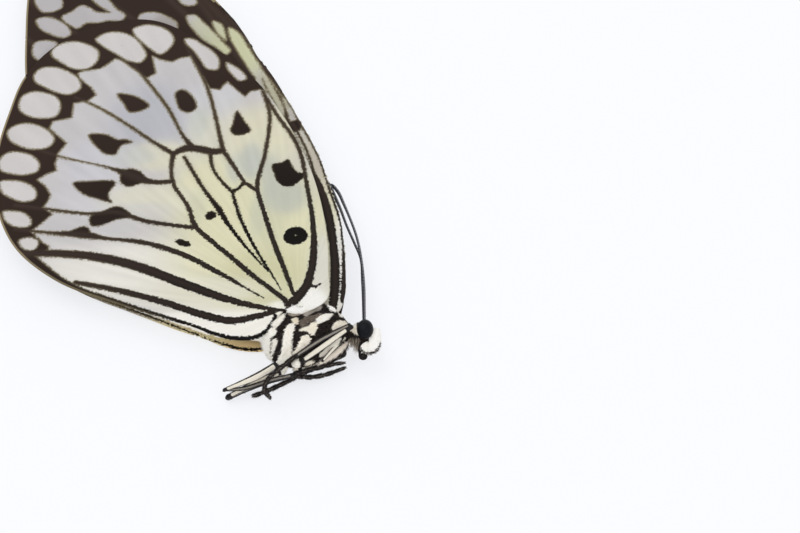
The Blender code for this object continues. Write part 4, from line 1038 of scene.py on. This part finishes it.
def coat_tree():
    """Tufts over a skin: as many as 'cover' says, lying along 'lie', as long as 'long' says."""
    tree = bpy.data.node_groups.new("coat", "GeometryNodeTree")
    for label, kind in (("Skin", "NodeSocketGeometry"), ("Tuft", "NodeSocketObject"),
                        ("Per square mm", "NodeSocketFloat"), ("Length", "NodeSocketFloat"),
                        ("Width", "NodeSocketFloat"), ("Lift", "NodeSocketFloat"),
                        ("Seed", "NodeSocketInt"), ("Finish", "NodeSocketMaterial")):
        tree.interface.new_socket(name=label, in_out="INPUT", socket_type=kind)
    tree.interface.new_socket(name="Coat", in_out="OUTPUT", socket_type="NodeSocketGeometry")
    given = node(tree, "NodeGroupInput").outputs
    cover, lie, long, around, blade = (
        node(tree, "GeometryNodeInputNamedAttribute", {"Name": name}, data_type=kind)
        for name, kind in (("cover", "FLOAT"), ("lie", "FLOAT_VECTOR"), ("long", "FLOAT"),
                           ("around", "FLOAT_VECTOR"), ("blade", "FLOAT_VECTOR")))
    density = node(tree, "ShaderNodeMath", {0: cover, 1: given["Per square mm"]},
                   operation="MULTIPLY")
    roots = node(tree, "GeometryNodeDistributePointsOnFaces",
                 {"Mesh": given["Skin"], "Density": density, "Seed": given["Seed"]},
                 distribute_method="RANDOM")
    shade = node(tree, "FunctionNodeRandomValue", {2: 0.0, 3: 1.0, "Seed": 11}, data_type="FLOAT")
    shaded = node(tree, "GeometryNodeStoreNamedAttribute",
                  {"Geometry": roots.outputs["Points"], "Name": "shade", "Value": shade.outputs[1]},
                  data_type="FLOAT", domain="POINT")
    shaded = node(tree, "GeometryNodeStoreNamedAttribute",
                  {"Geometry": shaded, "Name": "skin_normal", "Value": roots.outputs["Normal"]},
                  data_type="FLOAT_VECTOR", domain="POINT")
    jitter = node(tree, "FunctionNodeRandomValue",
                  {0: (-0.35, -0.35, -0.35), 1: (0.35, 0.35, 0.35), "Seed": given["Seed"]},
                  data_type="FLOAT_VECTOR")
    lifted = node(tree, "ShaderNodeVectorMath",
                  {0: roots.outputs["Normal"], "Scale": given["Lift"]}, operation="SCALE")
    loose = node(tree, "ShaderNodeVectorMath", {0: lie, 1: jitter.outputs[0]}, operation="ADD")
    way = node(tree, "ShaderNodeVectorMath", {0: loose, 1: lifted}, operation="ADD")
    upright = node(tree, "FunctionNodeAlignRotationToVector", {"Vector": way}, axis="Z")
    facing = node(tree, "FunctionNodeAlignRotationToVector",
                  {"Rotation": upright, "Vector": roots.outputs["Normal"]}, axis="Y",
                  pivot_axis="Z")
    vary = node(tree, "FunctionNodeRandomValue", {2: 0.65, 3: 1.2, "Seed": 7}, data_type="FLOAT")
    length = node(tree, "ShaderNodeMath", {0: long, 1: given["Length"]}, operation="MULTIPLY")
    length = node(tree, "ShaderNodeMath", {0: length, 1: vary.outputs[1]}, operation="MULTIPLY")
    size = node(tree, "ShaderNodeCombineXYZ", {"X": given["Width"], "Y": given["Width"],
                                               "Z": length})
    tuft = node(tree, "GeometryNodeObjectInfo", {"Object": given["Tuft"]})
    blades = node(tree, "GeometryNodeInstanceOnPoints",
                  {"Points": shaded, "Instance": tuft.outputs["Geometry"], "Rotation": facing,
                   "Scale": size})
    real = node(tree, "GeometryNodeRealizeInstances", {"Geometry": blades})
    split = node(tree, "ShaderNodeSeparateXYZ", {0: around})
    angle = node(tree, "ShaderNodeMath", {0: split.outputs["Z"], 1: split.outputs["Y"]},
                 operation="ARCTAN2")
    turn = node(tree, "ShaderNodeMath", {0: angle, 1: 0.47 / math.pi, 2: 0.5},
                operation="MULTIPLY_ADD")
    root = node(tree, "ShaderNodeCombineXYZ", {"X": split.outputs["X"], "Y": turn})
    patch = node(tree, "ShaderNodeVectorMath", {0: blade, "Scale": BAKE_PATCH}, operation="SCALE")
    spread = node(tree, "ShaderNodeVectorMath", {0: root, 1: patch}, operation="ADD")
    mapped = node(tree, "GeometryNodeStoreNamedAttribute",
                  {"Geometry": real, "Name": "OFBake", "Value": spread}, data_type="FLOAT2",
                  domain="CORNER")
    finished = node(tree, "GeometryNodeSetMaterial",
                    {"Geometry": mapped, "Material": given["Finish"]})
    node(tree, "NodeGroupOutput", {"Coat": finished})
    return tree


def grow_coat(name, skin, tools, per_mm2, length, width, lift, seed):
    """Grow a coat on a skin mesh that has the attributes cover, lie, long and around."""
    tree, tuft, finish = tools
    holder = add_object(name, skin.copy())
    grow = holder.modifiers.new("coat", "NODES")
    grow.node_group = tree
    values = {"Tuft": tuft, "Per square mm": per_mm2, "Length": length, "Width": width,
              "Lift": lift, "Seed": seed, "Finish": finish}
    for item in tree.interface.items_tree:
        if item.name in values:
            grow[item.identifier] = values[item.name]
    mesh = evaluated(holder)
    points = mesh_rows(mesh, "co")
    points[:, 2] = np.maximum(points[:, 2], 0.03)
    mesh.vertices.foreach_set("co", points.ravel())
    if "blade" in mesh.uv_layers:
        mesh.uv_layers.remove(mesh.uv_layers["blade"])
    return place(name, mesh, None, [])


def set_growth(mesh, pale, light, cover, long, lie, axis, span):
    """What a coat reads: colours, cover, length and lie, and each root's place on the unwrap."""
    points, normals = mesh_rows(mesh, "co"), mesh_rows(mesh, "normal")
    lie = unit(lie)
    lie = unit(lie - normals * (lie * normals).sum(axis=1)[:, None] * 0.9)
    set_floats(mesh, "pale", pale)
    set_rgb(mesh, "light", light)
    set_floats(mesh, "cover", cover)
    set_floats(mesh, "long", long)
    set_vectors(mesh, "lie", lie)
    across = 0.02 + 0.96 * (points[:, 0] - span[0]) / (span[1] - span[0])
    set_vectors(mesh, "around", np.column_stack([across, points[:, 1] - axis,
                                                 points[:, 2] - MID_Z]))


def scale_hair():
    """Hair-like scales, 0.3 to 1 mm long: soft, without gloss, each tuft of its own tone.

    The light that passes from hair to hair is given as a faint emission of the same colour.
    """
    made, tree, shader = new_material("hair-like scales", 0.8, Specular_IOR_Level=0.1,
                                      Emission_Strength=0.26)
    pale = node(tree, "ShaderNodeAttribute", attribute_name="pale").outputs["Fac"]
    shade = node(tree, "ShaderNodeAttribute", attribute_name="shade").outputs["Fac"]
    light = node(tree, "ShaderNodeAttribute", attribute_name="light").outputs["Color"]
    ragged = node(tree, "ShaderNodeMath", {0: shade, 1: 0.1, 2: pale}, operation="MULTIPLY_ADD")
    white = node(tree, "ShaderNodeMapRange", {"Value": ragged, "From Min": 0.02, "From Max": 0.07})
    dull = node(tree, "ShaderNodeMath", {0: shade, 1: 0.34}, operation="MULTIPLY")
    light = node(tree, "ShaderNodeMix", {0: dull, 6: light, 7: colour("#b8ab9a")}, data_type="RGBA")
    dark = node(tree, "ShaderNodeMix", {0: shade, 6: colour("#0d0b0b"), 7: colour("#352e2b")},
                data_type="RGBA")
    hairs = node(tree, "ShaderNodeMix", {0: white, 6: dark, 7: light}, data_type="RGBA")
    tree.links.new(hairs.outputs[2], shader.inputs["Base Color"])
    tree.links.new(hairs.outputs[2], shader.inputs["Emission Color"])
    skin = node(tree, "ShaderNodeAttribute", attribute_name="skin_normal").outputs["Vector"]
    own = node(tree, "ShaderNodeNewGeometry").outputs["Normal"]
    soft = node(tree, "ShaderNodeVectorMath", {0: skin, 1: (0.6, 0.6, 0.6), 2: own},
                operation="MULTIPLY_ADD")
    soft = node(tree, "ShaderNodeVectorMath", {0: soft}, operation="NORMALIZE")
    tree.links.new(soft.outputs[0], shader.inputs["Normal"])
    return made


def cuticle(name, roughness, gloss, dark_from, dark_to):
    """Hard cuticle with pale patches or stripes on a dark ground, and a fine grain.

    The grain is drawn at 0.15 mm, coarser than it is, so that it shows.
    """
    made, tree, shader = new_material(name, roughness, Specular_IOR_Level=gloss)
    where = node(tree, "ShaderNodeTexCoord").outputs["Object"]
    grain = node(tree, "ShaderNodeTexNoise", {"Vector": where, "Scale": 1 / (0.15 * MM),
                                              "Detail": 3.0})
    pale = node(tree, "ShaderNodeAttribute", attribute_name="pale").outputs["Fac"]
    light = node(tree, "ShaderNodeAttribute", attribute_name="light").outputs["Color"]
    ragged = node(tree, "ShaderNodeMath", {0: grain, 1: 0.12, 2: pale}, operation="MULTIPLY_ADD")
    white = node(tree, "ShaderNodeMapRange", {"Value": ragged, "From Min": 0.03, "From Max": 0.09})
    dull = node(tree, "ShaderNodeMath", {0: grain, 1: 0.25}, operation="MULTIPLY")
    light = node(tree, "ShaderNodeMix", {0: dull, 6: light, 7: colour("#94866f")}, data_type="RGBA")
    dark = node(tree, "ShaderNodeMix", {0: grain, 6: colour(dark_from), 7: colour(dark_to)},
                data_type="RGBA")
    skin = node(tree, "ShaderNodeMix", {0: white, 6: dark, 7: light}, data_type="RGBA")
    tree.links.new(skin.outputs[2], shader.inputs["Base Color"])
    bump = node(tree, "ShaderNodeBump", {"Height": grain, "Strength": 0.4, "Distance": 0.00004})
    tree.links.new(bump.outputs[0], shader.inputs["Normal"])
    return made


def build_body(tools):
    """The skin with its coats of scale hairs, and longer fluff at wing root, rear and throat."""
    skin, points = body_skin()
    pale, light = body_marks(points)
    x, y, z = points.T
    fluffy = np.clip((-3.4 - x) / 0.8, 0, 1) * np.clip((x - ABDOMEN_FROM) / 0.5, 0, 1)
    low = np.clip((-1.5 - y) / 1.5, 0, 1)
    long = 1.0 + 0.5 * fluffy + 0.35 * low - 0.35 * np.clip((x - 4.8) / 0.6, 0, 1)
    long = np.where(x < ABDOMEN_FROM, 0.8, long)
    lie = np.column_stack([np.where(x > HEAD_FROM, -0.2, -1.0), np.full(len(x), -0.7),
                           np.zeros(len(x))])
    lie[x < -5.3] = (-1.0, 0.3, 0.0)
    cover = np.where(z < 0.35, 0.0, 1.0)
    set_growth(skin, pale, light, cover, long, lie, body_axis(points), BODY_SPAN)
    for name, keep, per_mm2, length, width, seed in (
            ("thorax_coat", (x > ABDOMEN_FROM) & (x < HEAD_FROM), 125.0, 0.36, 0.1, 3),
            ("abdomen_coat", x <= ABDOMEN_FROM, 55.0, 0.48, 0.13, 4),
            ("head_coat", x >= HEAD_FROM, 150.0, 0.32, 0.08, 5)):
        skin.attributes["cover"].data.foreach_set("value", np.where(keep, cover, 0.0))
        grow_coat(name, skin, tools, per_mm2, length, width, 0.16, seed)
    seen = np.column_stack([x, y - SEEN_SLOPE * (SEEN_HEIGHT - z)])
    ring = smooth(BODY_PATCHES["wing root"][1], PATCH_STEP, closed=True)
    root = depth_in(seen, ring, 1.0)
    at_root = (root > 0.05) & (x > -2.0) & (x < -1.1) & (z > MID_Z)
    at_rear = (x > -5.2) & (x < -4.4) & (y < 1.6) & (z > 0.6)
    at_throat = (x > 4.5) & (x < 5.8) & (seen[:, 1] < 0.0) & (z > 0.8)
    for name, keep, way, tint, per_mm2, length, lift in (
            ("wing_root_fluff", at_root, (0.1, 1.0, 0.1), "#fdfcfa", 45.0, 0.4, 0.3),
            ("rear_fluff", at_rear, (-1.0, 0.1, 0.0), "#fffefa", 40.0, 0.6, 0.3),
            # The throat fluff's brown-grey is partly its own tone and partly painted shade of the
            # hollow between head and legs.
            ("throat_fluff", at_throat, (0.1, -1.0, 0.0), "#867c70", 40.0, 1.0, 0.2)):
        fluff = skin.copy()
        fluff.attributes["cover"].data.foreach_set("value", keep.astype(float))
        fluff.attributes["long"].data.foreach_set("value", np.ones(len(x)))
        fluff.attributes["pale"].data.foreach_set("value", np.ones(len(x)))
        fluff.attributes["lie"].data.foreach_set("vector", np.tile(way, len(x)).astype(float))
        full = np.tile([*srgb(tint), 1.0], len(x))
        fluff.attributes["light"].data.foreach_set("color", full)
        grow_coat(name, fluff, tools, per_mm2, length, 0.06, lift, 6)
    # Thin black skin, matt: it shows only as the dark ground between tufts.
    finish = cuticle("body skin under scales", 0.75, 0.12, "#0c0a0a", "#241f1d")
    place("body_skin", skin, finish, ["thorax", "abdomen", "head"])


def nearest_rows(points, line):
    """The row of a line that lies nearest to each point."""
    return np.argmin(((points[:, None] - line[None]) ** 2).sum(axis=2), axis=1)


def build_eyes():
    """Compound eyes: black, almost matt, with facets 0.07 mm across drawn larger than real."""
    cornea, tree, shader = new_material("compound eye", 0.42, Specular_IOR_Level=0.14)
    where = node(tree, "ShaderNodeTexCoord").outputs["Object"]
    facets = node(tree, "ShaderNodeTexVoronoi", {"Vector": where, "Scale": 1 / (0.07 * MM)})
    black = node(tree, "ShaderNodeMix", {0: facets, 6: colour("#050608"), 7: colour("#0e1117")},
                 data_type="RGBA")
    tree.links.new(black.outputs[2], shader.inputs["Base Color"])
    bump = node(tree, "ShaderNodeBump", {"Height": facets, "Strength": 0.3, "Distance": 0.00002},
                invert=True)
    tree.links.new(bump.outputs[0], shader.inputs["Normal"])
    for side, name in ((1, "eye_right"), (-1, "eye_left")):
        centre = (EYE_AT[0], EYE_AT[1], MID_Z + side * EYE_AT[2])
        mesh = make_mesh(name, *ball(centre, EYE_HALF, sides=48))
        place(name + "_cornea", mesh, cornea, [name])


def build_palps(tools):
    """Palps: fat white brushes with a short black fringe along their outer edge."""
    # The palps' own skin, black and matt, shows only between the hairs.
    finish = cuticle("palp skin", 0.75, 0.12, "#0c0a0a", "#241f1d")
    for side, name in ((1, "palp_right"), (-1, "palp_left")):
        lift = LEFT_PALP_RISE if side < 0 else 0.0
        middle = MID_Z + side * PALP_SPREAD
        rows = smooth([(x, y + lift, middle, r - PALP_COAT) for x, y, r in PALP], 0.1)
        points, faces = tube(rows, 24, PALP_FLAT)
        line = rows[:, :3]
        nearest = nearest_rows(points, line)
        out = unit(points - line[nearest])
        along = along_line(line)[0][nearest]
        outward = np.column_stack([along[:, 1], -along[:, 0], np.zeros(len(along))])
        facing = (out * outward).sum(axis=1)
        rim = np.clip((facing - 0.85) / 0.1, 0, 1)
        mesh = make_mesh(name, points, faces)
        lie = along + outward * rim[:, None] * 0.9
        white = np.tile(srgb("#fbfaf5"), (len(points), 1))
        low = nearest < 0.5 * len(rows)
        pale = np.where(low, (0.94 - facing) * 2, 0.3)
        set_growth(mesh, pale, white, np.ones(len(points)), 1.0 + 0.2 * rim, lie,
                   points[:, 1].mean(), PALP_SPAN)
        grow_coat(name + "_coat", mesh, tools, 170.0, 0.4, 0.1, 0.3, 8 + side)
        place(name + "_skin", mesh, finish, [name])


def build_proboscis():
    """The coiled tongue on its stem."""
    turns = np.linspace(0, 2 * math.pi * COIL_TURNS, 140)
    radius = 0.42 - 0.36 * turns / turns[-1]
    across, up, level = COIL_AT
    coil = np.column_stack([across - radius * np.cos(turns), up - radius * np.sin(turns),
                            np.full(len(turns), level), np.linspace(0.14, 0.1, len(turns))])
    stem = smooth([(x, y, level, r) for x, y, r in STEM] + [tuple(coil[0])], 0.08)
    mesh = make_mesh("proboscis", *tube(np.vstack([stem[:-1], coil]), 12))
    set_floats(mesh, "pale", np.full(len(mesh.vertices), -0.4))
    set_rgb(mesh, "light", np.tile(srgb("#6a4a33"), (len(mesh.vertices), 1)))
    # Bare dark brown cuticle, smoother than the skin, so it has a soft gloss.
    finish = cuticle("proboscis cuticle", 0.5, 0.2, "#0a0808", "#1c1513")
    place("proboscis_coil", mesh, finish, ["proboscis"])


def build_antennae():
    """Feelers: rings of hard dark cuticle with a faint gloss, which swell to a slim club."""
    finish = cuticle("ringed feeler cuticle", 0.55, 0.2, "#17181c", "#33343a")
    for name, route in ANTENNAE.items():
        rows = smooth(route, 0.09)
        way = np.linspace(0, 1, len(rows))
        rings = np.linspace(0, 2 * math.pi * ANTENNA_RINGS, len(rows))
        radius = 0.16 + 0.05 * np.clip((way - 0.72) / 0.2, 0, 1) ** 1.5
        radius *= 1 - 0.1 * np.clip(np.cos(rings), 0, 1) ** 3
        radius *= 1 + 0.5 * np.exp(-(way / 0.012) ** 2)
        radius *= np.clip((1.004 - way) / 0.03, 0.05, 1) ** 0.5
        points, faces = tube(np.column_stack([rows, radius]), 14)
        mesh = make_mesh(name, points, faces)
        ring = np.repeat(0.25 - 0.5 * np.clip(np.cos(rings), 0, 1) ** 2, 14)
        side = np.tile(np.cos(np.arange(14) * 2 * math.pi / 14 + 0.9), len(rows))
        set_floats(mesh, "pale", np.concatenate([np.where(side > 0.3, ring, -1) * 0.4, [-1, -1]]))
        set_rgb(mesh, "light", np.tile(srgb("#6d7078"), (len(points), 1)))
        place(name + "_rings", mesh, finish, [name])


def limb_rows(part, route):
    """Close rows along one length of a leg: pinched at joints, bulged or rounded off."""
    rows = smooth(route, 0.2)
    way = np.linspace(0, 1, len(rows))
    if part == "tarsus":
        joint = way * 5
        rows[:, 3] *= 1 - 0.3 * np.exp(-((joint - np.round(joint)) / 0.12) ** 2)
    elif part in ("femur", "tibia"):
        rows[:, 3] *= 0.84 + 0.16 * np.sin(math.pi * np.clip(way * 1.1, 0, 1)) + 0.12 * way ** 6
    else:
        rows[:, 3] *= np.sqrt(np.clip(1 - (2 * way - 1) ** 6, 0.05, 1))
    return rows


def limb(part, route):
    """One length of a leg, with its stripe on the side that shows."""
    rows = limb_rows(part, route)
    points, faces = tube(rows, 16)
    line = rows[:, :3]
    nearest = nearest_rows(points, line)
    along = along_line(line)[0][nearest]
    side = unit(np.cross(along, TOWARD_EYE))
    side *= np.where(side[:, 1] < 0, -1, 1)[:, None]
    out = unit(points - line[nearest])
    hexes, wide, shift, bristles, long = LENGTH_LOOKS[part]
    pale = (wide - np.abs((out * side).sum(axis=1) + shift)) * rows[nearest, 3]
    if part in ("femur", "tibia"):
        way = nearest / (len(rows) - 1)
        pale = np.where((way < 0.05) | (way > 0.96), -0.4, pale)
    count = len(points)
    return (points, faces, pale, np.tile(srgb(hexes), (count, 1)), np.full(count, bristles),
            np.full(count, long), along + out * 0.7)


def build_leg(name, lengths, finish, tools, seed):
    """A folded leg: lengths, round joints, two claws, and bristles over the lot."""
    parts = [limb(part, route) for part, route in lengths.items()]
    extra = []
    if "tibia" in lengths:
        above, below = np.array(lengths["femur"][-1]), np.array(lengths["tibia"][0])
        bent = (above + below) / 2
        bent[:3] += 0.14 * unit(above[:3] - np.array(lengths["femur"][-2])[:3])
        extra.append(tube(smooth([above, bent, below + (1e-3, 0, 0, 0)], 0.1)))
    if "tarsus" in lengths:
        end, before = np.array(lengths["tarsus"][-1]), np.array(lengths["tarsus"][-2])
        way = unit(end[:3] - before[:3])
        side = unit(np.cross(way, TOWARD_EYE))
        for turn in (-1, 1):
            claw = [(*(end[:3] + way * 0.26 * t + side * turn * 0.12 * math.sin(2.2 * t)),
                     0.07 * (1.05 - t)) for t in (0.0, 0.5, 1.0)]
            extra.append(tube(smooth(claw, 0.08), 8))
    for points, faces in extra:
        count = len(points)
        parts.append((points, faces, np.full(count, -0.4), np.tile(srgb("#8b867e"), (count, 1)),
                      np.zeros(count), np.ones(count), np.tile((1.0, 0.0, 0.0), (count, 1))))
    points, faces = joined([part[:2] for part in parts])
    points[:, 2] = np.maximum(points[:, 2], 0.02)
    mesh = make_mesh(name, points, faces)
    pale, light, cover, long, lie = (np.concatenate([part[k] for part in parts])
                                     for k in range(2, 7))
    reach = (points[:, 0].min() - 0.5, points[:, 0].max() + 0.5)
    set_growth(mesh, pale, light, cover, long, lie, points[:, 1].mean(), reach)
    grow_coat(name + "_bristles", mesh, tools, 1.0, 0.2, 0.05, 0.3, seed)
    place(name + "_cuticle", mesh, finish, [name])


def build_stage():
    """Floor, light and camera.

    The floor is an opal sheet lit from below: pale and even, with only faint shadows.
    """
    mesh = bpy.data.meshes.new("floor")
    bm = bmesh.new()
    bmesh.ops.create_grid(bm, x_segments=1, y_segments=1, size=1.5)
    bm.to_mesh(mesh)
    bm.free()
    made, tree, shader = new_material("opal sheet of a light table", 0.85,
                                      Specular_IOR_Level=0.1, Emission_Strength=0.73)
    shader.inputs["Base Color"].default_value = colour("#8a8b8d")
    shader.inputs["Emission Color"].default_value = colour("#fbfcff")
    mesh.materials.append(made)
    floor = add_object("floor", mesh)

    world = bpy.data.worlds.new("studio")
    world.use_nodes = True
    world.node_tree.nodes["Background"].inputs["Color"].default_value = colour("#f9fafd")
    world.node_tree.nodes["Background"].inputs["Strength"].default_value = 0.86
    bpy.context.scene.world = world
    for name, place_at, size, power in (("key", (-0.25, 0.2, 0.7), 0.6, 1.0),
                                        ("fill", (0.4, -0.35, 0.6), 0.7, 0.7)):
        light = bpy.data.lights.new(name, "AREA")
        light.shape = "DISK"
        light.size = size
        light.energy = power
        lamp = add_object(name, light)
        lamp.location = place_at
        lamp.rotation_euler = (-Vector(place_at)).to_track_quat("-Z", "Y").to_euler()
    # The camera looks down at 55 degrees from about 0.2 m, framed as the photograph is.
    lens = bpy.data.cameras.new("camera")
    lens.lens = 81.0
    lens.sensor_width = 36.0
    lens.clip_start = 0.01
    camera = add_object("camera", lens)
    camera.location = (0.0106, -0.1117, 0.1777)
    camera.rotation_euler = (math.radians(35), 0, 0)
    bpy.context.scene.camera = camera
    bpy.context.scene.view_settings.view_transform = "Standard"


build_stage()
build_wings()
coat_tools = (coat_tree(), tuft_mesh(), scale_hair())
build_body(coat_tools)
build_eyes()
build_palps(coat_tools)
build_proboscis()
build_antennae()
# The legs' thin hard shell: near black with cream stripes and a slight gloss.
leg_finish = cuticle("leg cuticle", 0.5, 0.25, "#121012", "#2b2726")
for number, (leg, leg_lengths) in enumerate(LEGS.items()):
    build_leg(leg, leg_lengths, leg_finish, coat_tools, 20 + number)
bpy.data.objects.remove(coat_tools[1], do_unlink=True)
